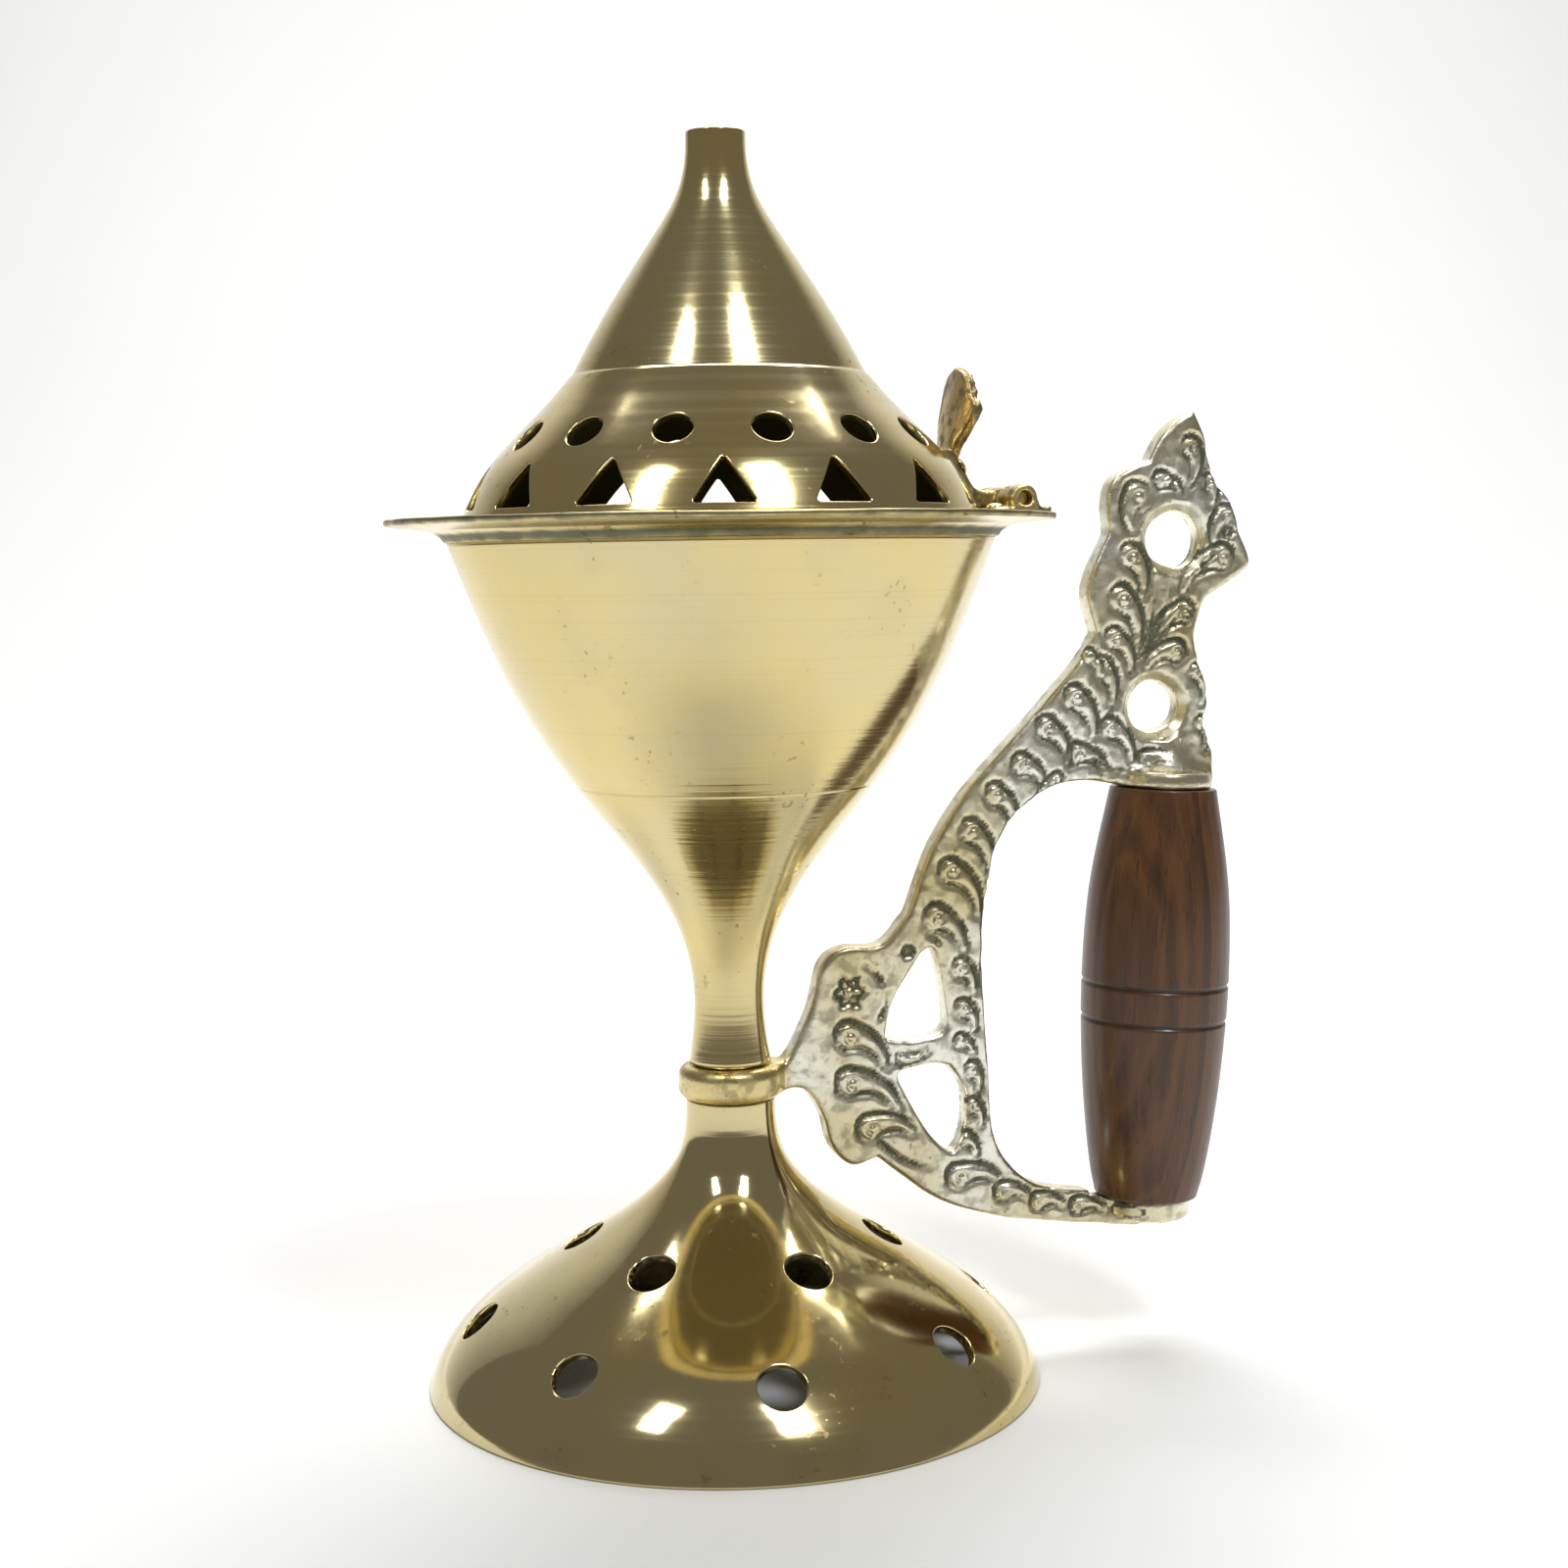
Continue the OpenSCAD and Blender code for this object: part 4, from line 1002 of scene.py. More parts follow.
class Paint(Wiring):
    """Node helpers for materials."""

    def __init__(self, name):
        self.material = bpy.data.materials.new(name)
        self.material.use_nodes = True
        super().__init__(self.material.node_tree)
        self.tree.nodes.clear()
        self.shader = self.add("ShaderNodeBsdfPrincipled")
        out = self.tree.nodes.new("ShaderNodeOutputMaterial")
        self.tree.links.new(self.shader.outputs[0], out.inputs[0])
        self.place = self.add("ShaderNodeTexCoord").outputs["Object"]

    def noise(self, scale, detail=3.0, roughness=0.5, vector=None):
        return self.add("ShaderNodeTexNoise", Vector=vector or self.place, Scale=scale, Detail=detail,
                        Roughness=roughness).outputs[0]

    def band_noise(self, value, scale, detail=3.0):
        return self.add("ShaderNodeTexNoise", {"noise_dimensions": "1D"}, W=value, Scale=scale,
                        Detail=detail).outputs[0]

    def ramp(self, value, low, high):
        return self.add("ShaderNodeMapRange", {"interpolation_type": "SMOOTHSTEP"}, i0=value, i1=low,
                        i2=high).outputs[0]

    def mix(self, factor, a, b):
        node = self.add("ShaderNodeMix", {"data_type": "RGBA"}, i0=factor)
        for socket, value in ((node.inputs[6], a), (node.inputs[7], b)):
            if isinstance(value, bpy.types.NodeSocket):
                self.tree.links.new(value, socket)
            else:
                socket.default_value = (*value, 1.0)
        return node.outputs[2]

    def bump(self, height, distance, normal=None):
        node = self.add("ShaderNodeBump", Height=height, Distance=distance, Strength=1.0)
        if normal is not None:
            self.tree.links.new(normal, node.inputs["Normal"])
        return node.outputs[0]

    def feed(self, name, value):
        if isinstance(value, bpy.types.NodeSocket):
            self.tree.links.new(value, self.shader.inputs[name])
        else:
            self.shader.inputs[name].default_value = value

    def radius(self):
        split = self.add("ShaderNodeSeparateXYZ", i0=self.place)
        square = self.math("ADD", self.math("MULTIPLY", split.outputs[0], split.outputs[0]),
                           self.math("MULTIPLY", split.outputs[1], split.outputs[1]))
        return self.math("SQRT", square), split.outputs[2]


def brass(name, main, warm, roughness, lathe=0.0, spots=0.4, ripple=0.00006, hollows_and_shade=False, pits=0.0,
          core=0.0):
    """Brass: cloudy colour, brown spots, lathe lines, buffing ripples, dark patina in hollows, painted shade on inner
    faces and under the lid, a gold core by the axis.
    """
    old = bpy.data.materials.get(name)
    if old:
        return old
    paint = Paint(name)
    tarnish, patina_and_shade = tuple(colours().tarnish), tuple(colours().patina_and_shade)
    cloud = paint.noise(34.0, 4.0, 0.55)
    colour = paint.mix(paint.ramp(cloud, 0.38, 0.66), main, warm)
    if core:
        near = paint.ramp(paint.radius()[0], core * 1.4, core)
        colour = paint.mix(near, colour, tuple(colours().brass_warm))
    patch = paint.ramp(paint.noise(75.0, 3.0), 0.5, 0.68)
    speck = paint.ramp(paint.noise(820.0, 2.0), 0.63, 0.7)
    stain = paint.math("MULTIPLY", paint.math("MULTIPLY", patch, speck), spots * 1.6)
    stain = paint.math("MINIMUM", paint.math("ADD", stain, paint.math("MULTIPLY", patch, spots * 0.16)), 1.0)
    colour = paint.mix(stain, colour, tarnish)
    rough = paint.math("ADD", paint.math("MULTIPLY", cloud, 0.09), roughness - 0.045)
    rough = paint.math("ADD", rough, paint.math("MULTIPLY", stain, 0.22))
    normal = paint.bump(paint.noise(48.0, 2.0, 0.4), ripple)
    if lathe:
        radius, height = paint.radius()
        along = paint.math("ADD", height, paint.math("MULTIPLY", radius, 0.8))
        fine = paint.band_noise(along, 2600.0, 2.0)
        broad = paint.band_noise(along, 800.0, 2.0)
        normal = paint.bump(fine, 0.0000045 * lathe, normal)
        normal = paint.bump(broad, 0.00002 * lathe, normal)
        rough = paint.math("ADD", rough, paint.math("MULTIPLY", paint.ramp(fine, 0.45, 0.7), 0.05 * lathe))
        colour = paint.mix(paint.math("MULTIPLY", paint.ramp(fine, 0.6, 0.78), 0.1 * lathe), colour, tarnish)
    if pits:
        grain = paint.noise(1500.0, 3.0, 0.6)
        coarse = paint.noise(420.0, 3.0, 0.6)
        normal = paint.bump(grain, 0.00004 * pits, normal)
        normal = paint.bump(coarse, 0.00009 * pits, normal)
        dark = paint.ramp(coarse, 0.52, 0.36)
        colour = paint.mix(paint.math("MULTIPLY", dark, 0.55 * min(pits, 1.4)), colour, patina_and_shade)
        rough = paint.math("ADD", rough, paint.math("MULTIPLY", dark, 0.2))
    # The mask darkens the colour with patina in the casting's hollows, and with painted shade on the shells' inner
    # faces and on the flange under the lid.
    if hollows_and_shade:
        depth = paint.add("ShaderNodeAttribute", {"attribute_name": "hollow"}).outputs["Fac"]
        wander = paint.math("ADD", depth, paint.math("MULTIPLY", paint.noise(300.0, 3.0), 0.5))
        dark = paint.math("MULTIPLY", paint.ramp(wander, 0.34, 0.9), 0.9)
        colour = paint.mix(dark, colour, patina_and_shade)
        rough = paint.math("ADD", rough, paint.math("MULTIPLY", dark, 0.35))
    paint.feed("Base Color", colour)
    paint.feed("Metallic", 1.0)
    paint.feed("Roughness", rough)
    paint.feed("Normal", normal)
    return paint.material


def polished():
    c = colours()
    return brass("bowl_polished", tuple(c.brass), tuple(c.brass_warm), 0.15, lathe=1.0)


def bright_polished():
    c = colours()
    return brass("foot_polished", tuple(c.brass), tuple(c.brass_warm), 0.085, lathe=0.5, spots=0.7, ripple=0.00014,
                 hollows_and_shade=True)


def warm_polished():
    c = colours()
    return brass("lid_polished", tuple(c.brass_warm), tuple(c.brass), 0.13, lathe=0.7, spots=0.5, hollows_and_shade=True)


def ring_brass():
    c = colours()
    return brass("ring_brazed", tuple(c.brass), tuple(c.brass_warm), 0.2, lathe=0.5, spots=0.9,
                 ripple=0.00012, hollows_and_shade=True)


def cast_brass():
    c = colours()
    return brass("handle_cast", tuple(c.cast), tuple(c.brass), 0.27, spots=0.5, hollows_and_shade=True, pits=0.45, core=0.0075)


def rough_brass():
    c = colours()
    return brass("hinge_rough", tuple(c.brass_warm), tuple(c.tarnish), 0.34, spots=1.2, pits=2.0)


def fitting_brass():
    c = colours()
    return brass("fitting_turned", tuple(c.brass_warm), tuple(c.brass), 0.24, spots=0.7)


def sooty_brass():
    c = colours()
    return brass("screen_sooty", tuple(c.brass_warm), tuple(c.tarnish), 0.34, lathe=0.6, spots=1.0)


def wood():
    """Dark reddish turned wood under a gloss varnish, its grooves burnt dark."""
    old = bpy.data.materials.get("grip_varnished")
    if old:
        return old
    paint = Paint("grip_varnished")
    light, dark = tuple(colours().wood_light), tuple(colours().wood_dark)
    foot, axis, _ = grip_frame()
    lean = math.atan2(axis[0], axis[1])
    upright = paint.add("ShaderNodeMapping", {"vector_type": "POINT"}, Vector=paint.place,
                        Location=(-foot[0] * MM, 0.0, -foot[1] * MM), Rotation=(0.0, -lean, 0.0)).outputs[0]
    stretched = paint.add("ShaderNodeMapping", Vector=upright, Scale=(1.0, 1.0, 0.06)).outputs[0]
    warp = paint.noise(60.0, 3.0, 0.5, stretched)
    split = paint.add("ShaderNodeSeparateXYZ", i0=upright)
    across = paint.math("ADD", paint.math("MULTIPLY", split.outputs[0], 0.8), split.outputs[1])
    rings = paint.band_noise(paint.math("ADD", across, paint.math("MULTIPLY", warp, 0.012)), 520.0, 3.0)
    streak = paint.noise(420.0, 4.0, 0.6, stretched)
    pore = paint.ramp(paint.noise(2200.0, 2.0, 0.5, stretched), 0.6, 0.68)
    tone = paint.math("ADD", paint.math("MULTIPLY", rings, 0.6), paint.math("MULTIPLY", streak, 0.4))
    colour = paint.mix(paint.ramp(tone, 0.36, 0.64), dark, light)
    colour = paint.mix(paint.math("MULTIPLY", pore, 0.55), colour, (0.02, 0.008, 0.005))
    groove = paint.add("ShaderNodeAttribute", {"attribute_name": "hollow"}).outputs["Fac"]
    colour = paint.mix(groove, colour, (0.018, 0.009, 0.006))
    paint.feed("Base Color", colour)
    paint.feed("Roughness", paint.math("ADD", paint.math("MULTIPLY", streak, 0.16), 0.3))
    paint.feed("Coat Weight", 0.2)
    paint.feed("Coat Roughness", 0.1)
    paint.feed("Coat IOR", 1.5)
    normal = paint.bump(pore, -0.00003)
    paint.feed("Normal", paint.bump(paint.noise(140.0, 2.0), 0.00005, normal))
    return paint.material


def floor_paint():
    """Matt, faintly mottled pale board."""
    paint = Paint("pale_board")
    base = tuple(colours().floor)
    shade_of = tuple(0.965 * v for v in base)
    paint.feed("Base Color", paint.mix(paint.noise(3.0, 4.0), base, shade_of))
    paint.feed("Roughness", paint.math("ADD", paint.math("MULTIPLY", paint.noise(900.0, 2.0), 0.1), 0.55))
    paint.feed("Normal", paint.bump(paint.noise(1400.0, 2.0), 0.00002))
    return paint.material


# ----------------------------------------------------------------- pieces


def finished(obj, material, slot, body, *nodes):
    """Gives a piece its material and its body, and lets it stand for CAD nodes; the slot is not used."""
    obj.data.materials.clear()
    obj.data.materials.append(material)
    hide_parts(*nodes)
    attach(obj, body)
    return obj


def rounded_corners(points, radius, steps=4):
    """A profile whose inner corners are rounded; its two ends stay."""
    p = np.asarray(points, float)
    out = [p[0]]
    for before, here, after in zip(p, p[1:], p[2:]):
        a, b = before - here, after - here
        la, lb = np.linalg.norm(a), np.linalg.norm(b)
        reach_a, reach_b = min(radius, la * 0.45), min(radius, lb * 0.45)
        first, last = here + a / la * reach_a, here + b / lb * reach_b
        for t in np.linspace(0, 1, steps + 1):
            out.append((1 - t) ** 2 * first + 2 * t * (1 - t) * here + t ** 2 * last)
    out.append(p[-1])
    return np.array(out)


def hem(wall, s_end, count, lip, keep_above=None):
    """Profile of a wall's lower end, from the inner face at s_end down round the edge and up to s_end outside."""
    inner = wall.stretch(s_end, lip, count, wall.thickness)
    outer = wall.stretch(lip, s_end, count)
    if keep_above is not None:
        inner[:, 1] = np.maximum(inner[:, 1], keep_above + lip)
    ri, ro = inner[-1][0], outer[0][0]
    low = keep_above if keep_above is not None else wall.point(0)[1]
    turn = [(ri + lip * 0.3, low + lip * 0.3), (ri + lip, low), ((ri + ro) / 2, low), (ro - lip, low),
            (ro - lip * 0.3, low + lip * 0.3)]
    return np.concatenate([inner, turn, outer])


def with_hollow_and_shade(obj, hollow):
    """Stores how dark and deep each point is, 0 to 1, for the material to read: depth of patina in hollows, and
    painted shade on inner faces and under the lid.
    """
    layer = obj.data.attributes.new("hollow", "FLOAT", "POINT")
    layer.data.foreach_set("value", np.asarray(hollow, np.float32))
    return obj


def inside_dull_and_shade(obj, walls, dull_and_shade):
    """How dark and dull a turned shell's points are: none outside; on the inner faces, where no wheel reaches,
    rougher and darkened with painted shade.
    """
    co = coordinates(obj.data) / MM
    radius, inner = np.hypot(co[:, 0], co[:, 1]), np.zeros(len(co))
    for wall in walls:
        s = np.linspace(0, wall.length, 3000)
        r, z = wall.point(s)
        order = np.argsort(z)
        near = np.interp(co[:, 2], z[order], r[order])
        slope = np.abs(np.interp(co[:, 2], z[order], np.interp(s, wall.at, wall.normal[:, 0])[order]))
        here = (co[:, 2] >= z.min()) & (co[:, 2] <= z.max())
        depth = (near - radius) * slope
        inner = np.where(here, np.clip((depth - 0.4) / 0.5, 0, 1), inner)
    return dull_and_shade * inner


def build_foot():
    """Bell foot with two rows of round vents."""
    wall, lip = FOOT_WALL, sizes().lip
    low_s, high_s = wall.s_at(LOW_ROW * FOOT_H), wall.s_at(HIGH_ROW * FOOT_H)
    reach = sizes().foot_hole / 2 + 1.6
    s_a, s_c = low_s - reach, high_s + reach
    s_b = (low_s + high_s) / 2
    hole = round_hole(sizes().foot_hole / 2)
    ceiling = FOOT_H * 0.68
    inner_top = np.array([q for q in wall.stretch(wall.length, s_c, 60, wall.thickness) if q[1] < ceiling - 0.5])
    outer_top = wall.stretch(s_c, wall.length - 0.3, 46)
    cap = rounded_corners([outer_top[-1], (NECK_R, FOOT_H), (STUD_WAY, FOOT_H), (STUD_WAY, ceiling),
                           (inner_top[0][0] - 0.5, ceiling), inner_top[0]], 0.3)
    low_bay = pierced_bay(wall, s_a, s_b, LOW_VENTS, 45, 16, low_s, hole, lip)
    high_bay = pierced_bay(wall, s_b, s_c, HIGH_VENTS, 60, 16, high_s, hole, lip)
    brass_skin = bright_polished()
    parts = [
        turned("foot_hem", hem(wall, s_a, 12, 0.45, 0.0), brass_skin, segments=360),
        ring_of_bays("foot_low", low_bay, LOW_VENTS, math.radians(-4), brass_skin),
        ring_of_bays("foot_high", high_bay, HIGH_VENTS, math.radians(-15), brass_skin),
        turned("foot_neck", np.concatenate([outer_top[:-1], cap, inner_top[1:]]), brass_skin, segments=360),
    ]
    foot = join("foot_bell", parts)
    # The inner faces get painted shade and are rougher.
    with_hollow_and_shade(foot, inside_dull_and_shade(foot, [wall], 0.35))
    shade(foot)
    true_normals(foot, wall)
    finished(foot, brass_skin, "turned_brass", "censer", "foot")


def grooved(wall, s0, s1, count, at, width, depth):
    """Outer points of a wall from s0 to s1 with one rounded line cut at s = at."""
    s = np.sort(np.concatenate([np.linspace(s0, s1, count), at + width * np.linspace(-1, 1, 9)]))
    dip = depth * np.exp(-((s - at) / (width * 0.5)) ** 2)
    return np.stack(wall.point(s, dip), axis=1)


def build_bowl():
    """Bowl that runs down into a slender stem, with one engraved line."""
    wall = BOWL_WALL
    height = MOUTH_Z - BOWL_Z
    floor = BOWL_Z + height * BOWL_FLOOR
    line_s = wall.s_at(BOWL_Z + height * BOWL_LINE)
    outer = grooved(wall, 0.3, wall.length, 130, line_s, sizes().groove, 0.16)
    inner = np.array([q for q in wall.stretch(wall.length, 0, 110, wall.thickness)
                      if floor + 0.8 < q[1] < MOUTH_Z - 0.8])
    foot = rounded_corners([(3.05, BOWL_Z + 12), (3.05, BOWL_Z), (STEM_R - 0.1, BOWL_Z), tuple(outer[0])], 0.25)
    profile = np.concatenate([
        [(0, BOWL_Z + 12)], foot[:-1], outer, [(MOUTH_R - wall.thickness, MOUTH_Z)], inner,
        [(inner[-1][0] - 1.0, floor + 0.25), (inner[-1][0] - 1.8, floor), (0, floor)]])
    bowl = turned("bowl_cup", profile, polished(), segments=240)
    shade(bowl)
    true_normals(bowl, wall)
    finished(bowl, polished(), "turned_brass", "censer", "bowl")


def build_rim():
    """Flange ring, a little uneven at its thin edge, with the braze bead under it."""
    edge, bore, root = 0.9, LID_R - 2.1, RIM_TOP - 1.62
    corners = [(bore, (root + RIM_TOP) / 2), (bore, root), (MOUTH_R - BOWL_THICK, MOUTH_Z), (MOUTH_R + 0.35, MOUTH_Z),
               (MOUTH_R + 0.9, MOUTH_Z + 0.9), (MOUTH_R + 2.6, root), (RIM_R, RIM_TOP - edge), (RIM_R, RIM_TOP),
               (bore, RIM_TOP), (bore, (root + RIM_TOP) / 2)]
    ring = turned("rim_flange", rounded_corners(corners, 0.4, 5), ring_brass(), segments=288, uneven=0.12,
                  beyond=44.0)
    co = coordinates(ring.data) / MM
    radius = np.hypot(co[:, 0], co[:, 1])
    # Braze line in the corner under the flange: tarnish on the joint and painted shade in the corner.
    braze_and_shade = 0.62 * np.exp(-((radius - MOUTH_R - 0.9) / 0.9) ** 2) * (co[:, 2] < root + 0.2)
    # Painted shadow on the flange round the lid's edge, where the lid sits on it.
    painted_shadow_under_lid = 0.5 * np.exp(-((radius - LID_R) / 0.6) ** 2) * (co[:, 2] > root + 0.2)
    # Darker towards the outer edge.
    darker_edge = 0.42 * np.clip((radius - RIM_R + 0.8) / 0.8, 0, 1)
    with_hollow_and_shade(ring, braze_and_shade + painted_shadow_under_lid + darker_edge)
    shade(ring)
    finished(ring, ring_brass(), "rim_brass", "censer", "rim_ring")


def build_lid():
    """Pierced lid: dome with triangles and round holes, spire and open chimney."""
    dome, spire, lip = DOME_WALL, SPIRE_WALL, sizes().lip
    tri_low = dome.s_at(LID_Z + TRIANGLE_RISE)
    tri_high = dome.s_at(LID_Z + TRIANGLE_RISE + sizes().triangle_h)
    round_s = dome.s_at(LID_Z + DOME_H * LID_ROW)
    s_a, s_b = tri_low - 0.75, (tri_high + round_s - sizes().lid_hole / 2) / 2
    s_c = round_s + sizes().lid_hole / 2 + 1.2
    triangle = triangle_hole(sizes().triangle_w, tri_high - tri_low)
    hole = round_hole(sizes().lid_hole / 2)
    shoulder = dome.stretch(s_c, dome.length - 0.3, 14)
    spire_out = spire.stretch(0.35, spire.length - 0.4, 92)
    chimney_low = LID_Z + DOME_H + (LID_TOP - LID_Z - DOME_H) * CHIMNEY_ROOT
    bore = CHIMNEY_R - LID_THICK
    spire_in = np.array([q for q in spire.stretch(spire.length, 0.6, 92, spire.thickness)
                         if q[1] < chimney_low - 0.8])
    dome_in = np.array([q for q in dome.stretch(dome.length, s_c, 14, dome.thickness)
                        if q[1] < spire_in[-1][1] - 0.4])
    top = rounded_corners([spire_out[-1], (CHIMNEY_R, LID_TOP), (bore, LID_TOP), (bore, chimney_low), spire_in[0]],
                          0.3)
    step_z = LID_Z + DOME_H
    step = [(SHOULDER_R, step_z - 0.02), (SHOULDER_R - 0.12, step_z + 0.03), (SHOULDER_R - 0.3, step_z + 0.05)]
    profile = np.concatenate([shoulder, step, spire_out[:-1], top, spire_in[1:], dome_in])
    triangle_bay = pierced_bay(dome, s_a, s_b, LID_BAYS, 24, 12, (tri_low + tri_high) / 2, triangle, lip)
    round_bay = pierced_bay(dome, s_b, s_c, LID_BAYS, 24, 11, round_s, hole, lip)
    brass_skin = warm_polished()
    parts = [
        turned("lid_hem", hem(dome, s_a, 6, 0.25), brass_skin, segments=336),
        ring_of_bays("lid_triangles", triangle_bay, LID_BAYS, 0.0, brass_skin),
        ring_of_bays("lid_rounds", round_bay, LID_BAYS, math.pi / LID_BAYS, brass_skin),
        turned("lid_spire", profile, brass_skin, segments=336),
    ]
    lid = join("lid_shell", parts)
    # The inner faces get painted shade and are rougher.
    with_hollow_and_shade(lid, inside_dull_and_shade(lid, [dome, spire], 0.8))
    shade(lid, 40)
    true_normals(lid, dome, spire)
    finished(lid, brass_skin, "turned_brass", "lid", "lid")


def build_screen():
    """Pierced dish for the charcoal."""
    low_z, high_z, lip_r = SCREEN_LOW[2], SCREEN_HIGH[2], SCREEN_HIGH[0]
    thick = SCREEN_THICK
    inner_at = BOWL_WALL.point(BOWL_WALL.s_at(low_z), BOWL_WALL.thickness)[0]
    floor_r = float(inner_at) - thick - 2.4
    pitch = floor_r / (SCREEN_ROWS + 0.6)
    under = smooth([(0.0, low_z), (floor_r * 0.5, low_z), (floor_r - 0.8, low_z), (floor_r + 0.5, low_z + 0.5),
                    (lip_r - 2.0, high_z - thick - 0.7), (lip_r - 1.1, high_z - thick), (lip_r, high_z - thick)], 8)
    wall = Wall(under, thick)
    edges = [pitch * (row + 0.5) for row in range(SCREEN_ROWS + 1)]
    hole_r, lip = 1.5, 0.12
    middle = rounded_corners([wall.point(edges[0]), wall.point(hole_r), wall.point(hole_r, thick),
                              wall.point(edges[0], thick)], lip)[::-1]
    outer = np.concatenate([wall.stretch(edges[-1], wall.length - 0.1, 24),
                            wall.stretch(wall.length - 0.1, edges[-1], 24, thick)])
    brass_skin = sooty_brass()
    parts = [turned("screen_centre", middle, brass_skin, segments=144)]
    for row in range(SCREEN_ROWS):
        bays = 6 * (row + 1)
        bay = pierced_bay(wall, edges[row], edges[row + 1], bays, 144 // bays, 7, pitch * (row + 1),
                          round_hole(hole_r, 20), lip)
        parts.append(ring_of_bays(f"screen_row_{row}", bay, bays, 0.0, brass_skin))
    parts.append(turned("screen_edge", outer, brass_skin, segments=144))
    screen = join("charcoal_dish", parts)
    shade(screen)
    finished(screen, brass_skin, "screen_brass", "screen", "charcoal_screen")


def build_handle():
    """Cast handle: collar, openwork plate with scrolls, arm, lug and eyelet ornament."""
    step = sizes().cast_cell
    verts, faces, hollow = handle_casting(step * (1))
    handle = with_hollow_and_shade(cast_object("handle_scrolled", verts, faces), hollow)
    finished(handle, cast_brass(), "cast_brass", "censer", "handle_casting")


def build_grip():
    """Turned barrel grip with two dark grooves, bored for its rod."""
    foot, axis, length = grip_frame()
    gap = 0.1
    wall = Wall(fair(smooth([(8.2 + 3.6 * c, gap + (length - 2 * gap) * h) for c, h in GRIP_CURVE], 12), 1.6), 1.0)
    grooves = [34.9, 29.1]
    s = np.sort(np.concatenate([np.linspace(0.5, wall.length - 0.5, 70)]
                               + [wall.s_at(g) + np.linspace(-0.9, 0.9, 11) for g in grooves]))
    dip = sum(0.3 * np.exp(-((s - wall.s_at(g)) / 0.34) ** 4) for g in grooves)
    outer = np.stack(wall.point(s, dip), axis=1)
    r0, r1 = outer[0][0], outer[-1][0]
    head = rounded_corners([outer[-1], (r1 - 0.1, length - gap), (2.65, length - gap), (2.65, gap), (r0 - 0.1, gap),
                            outer[0]], 0.5)
    grip = turned("grip_barrel", np.concatenate([outer[:-1], head]), wood(), segments=144)
    height = coordinates(grip.data)[:, 2] / MM
    with_hollow_and_shade(grip, np.clip(sum(0.85 * np.exp(-((height - g) / 0.36) ** 4) for g in grooves), 0, 1))
    lean = math.atan2(axis[0], axis[1])
    grip.data.transform(Matrix.Translation((foot[0] * MM, 0, foot[1] * MM)) @ Matrix.Rotation(lean, 4, "Y"))
    shade(grip, 50)
    finished(grip, wood(), "grip_wood", "censer", "grip")
    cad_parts["grip_rod"].data.materials.clear()
    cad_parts["grip_rod"].data.materials.append(fitting_brass())


def build_hinge():
    """Both halves of the hinge, rough cast, and the pin between them."""
    step = sizes().hinge_cell * 1
    base = cast_object("hinge_saddle", *hinge_base(step))
    finished(base, rough_brass(), "hinge_brass", "censer", "hinge_base")
    lever = cast_object("thumb_leaf", *thumb_lever(step))
    finished(lever, rough_brass(), "hinge_brass", "lid", "thumb_lever")
    half = HINGE_HIGH[1]
    ends = rounded_corners([(0, -half), (PIN_R, -half), (PIN_R, half), (0, half)], 0.35)
    pin = turned("hinge_pin_rod", ends, fitting_brass(), segments=48)
    pin.data.transform(Matrix.Translation((HINGE_X * MM, 0, HINGE_Z * MM)) @ Matrix.Rotation(math.pi / 2, 4, "X"))
    shade(pin, 50)
    finished(pin, fitting_brass(), "fitting_brass", "censer", "hinge_pin")


def rivet_set(name, places, shank):
    """Domed rivets at places given as (point in mm, turn in radians)."""
    dome = [(1.5 * math.cos(a), 0.08 + 0.62 * math.sin(a)) for a in np.linspace(0, math.pi / 2, 9)]
    profile = [(0, -shank), (1.0, -shank), (1.0, 0), (1.42, 0)] + dome[:-1] + [(0, 0.7)]
    piece = turned(name + "_one", profile, fitting_brass(), segments=32)
    points = mesh_object(name, [p for p, _ in places], [])
    layer = points.data.attributes.new("turn", "FLOAT_VECTOR", "POINT")
    layer.data.foreach_set("vector", np.array([t for _, t in places], np.float32).ravel())
    grown(points, tree_named("Copies on points", scatter_tree), Piece=piece, Scale=1.0, Material=fitting_brass())
    bpy.data.objects.remove(piece)
    shade(points, 40)
    return points


def build_rivets():
    """Rivets that hold the hinge on the ring and on the lid."""
    x = (RIVET_LOW[0] + RIVET_HIGH[0]) / 2
    y = RIVET_HIGH[1] - 1.5
    on_ring = rivet_set("ring_rivets", [((x, side * y, RIM_TOP + 1.0), (0, 0, 0)) for side in (-1, 1)], 2.3)
    finished(on_ring, fitting_brass(), "fitting_brass", "censer", "base_rivets")
    z = LID_Z + 6.4
    s = DOME_WALL.s_at(z)
    r = float(DOME_WALL.point(s)[0])
    nr, nz = (float(np.interp(s, DOME_WALL.at, DOME_WALL.normal[:, k])) for k in (0, 1))
    places = []
    for side in (-1, 1):
        turn = math.asin(side * 3.2 / r)
        out = np.array([nr * math.cos(turn), nr * math.sin(turn), nz])
        point = np.array([r * math.cos(turn), r * math.sin(turn), z]) + out * 1.75
        places.append((point, (0, math.acos(nz), turn)))
    on_lid = rivet_set("lid_rivets", places, 2.9)
    finished(on_lid, fitting_brass(), "fitting_brass", "lid", "lever_rivets")


def grid_object(name, rows):
    """A closed tube from rows of points, each row running round."""
    rows = np.asarray(rows, float)
    n, m = rows.shape[:2]
    faces = [(i * m + k, i * m + (k + 1) % m, (i + 1) * m + (k + 1) % m, (i + 1) * m + k)
             for i in range(n - 1) for k in range(m)]
    return mesh_object(name, rows.reshape(-1, 3), faces)


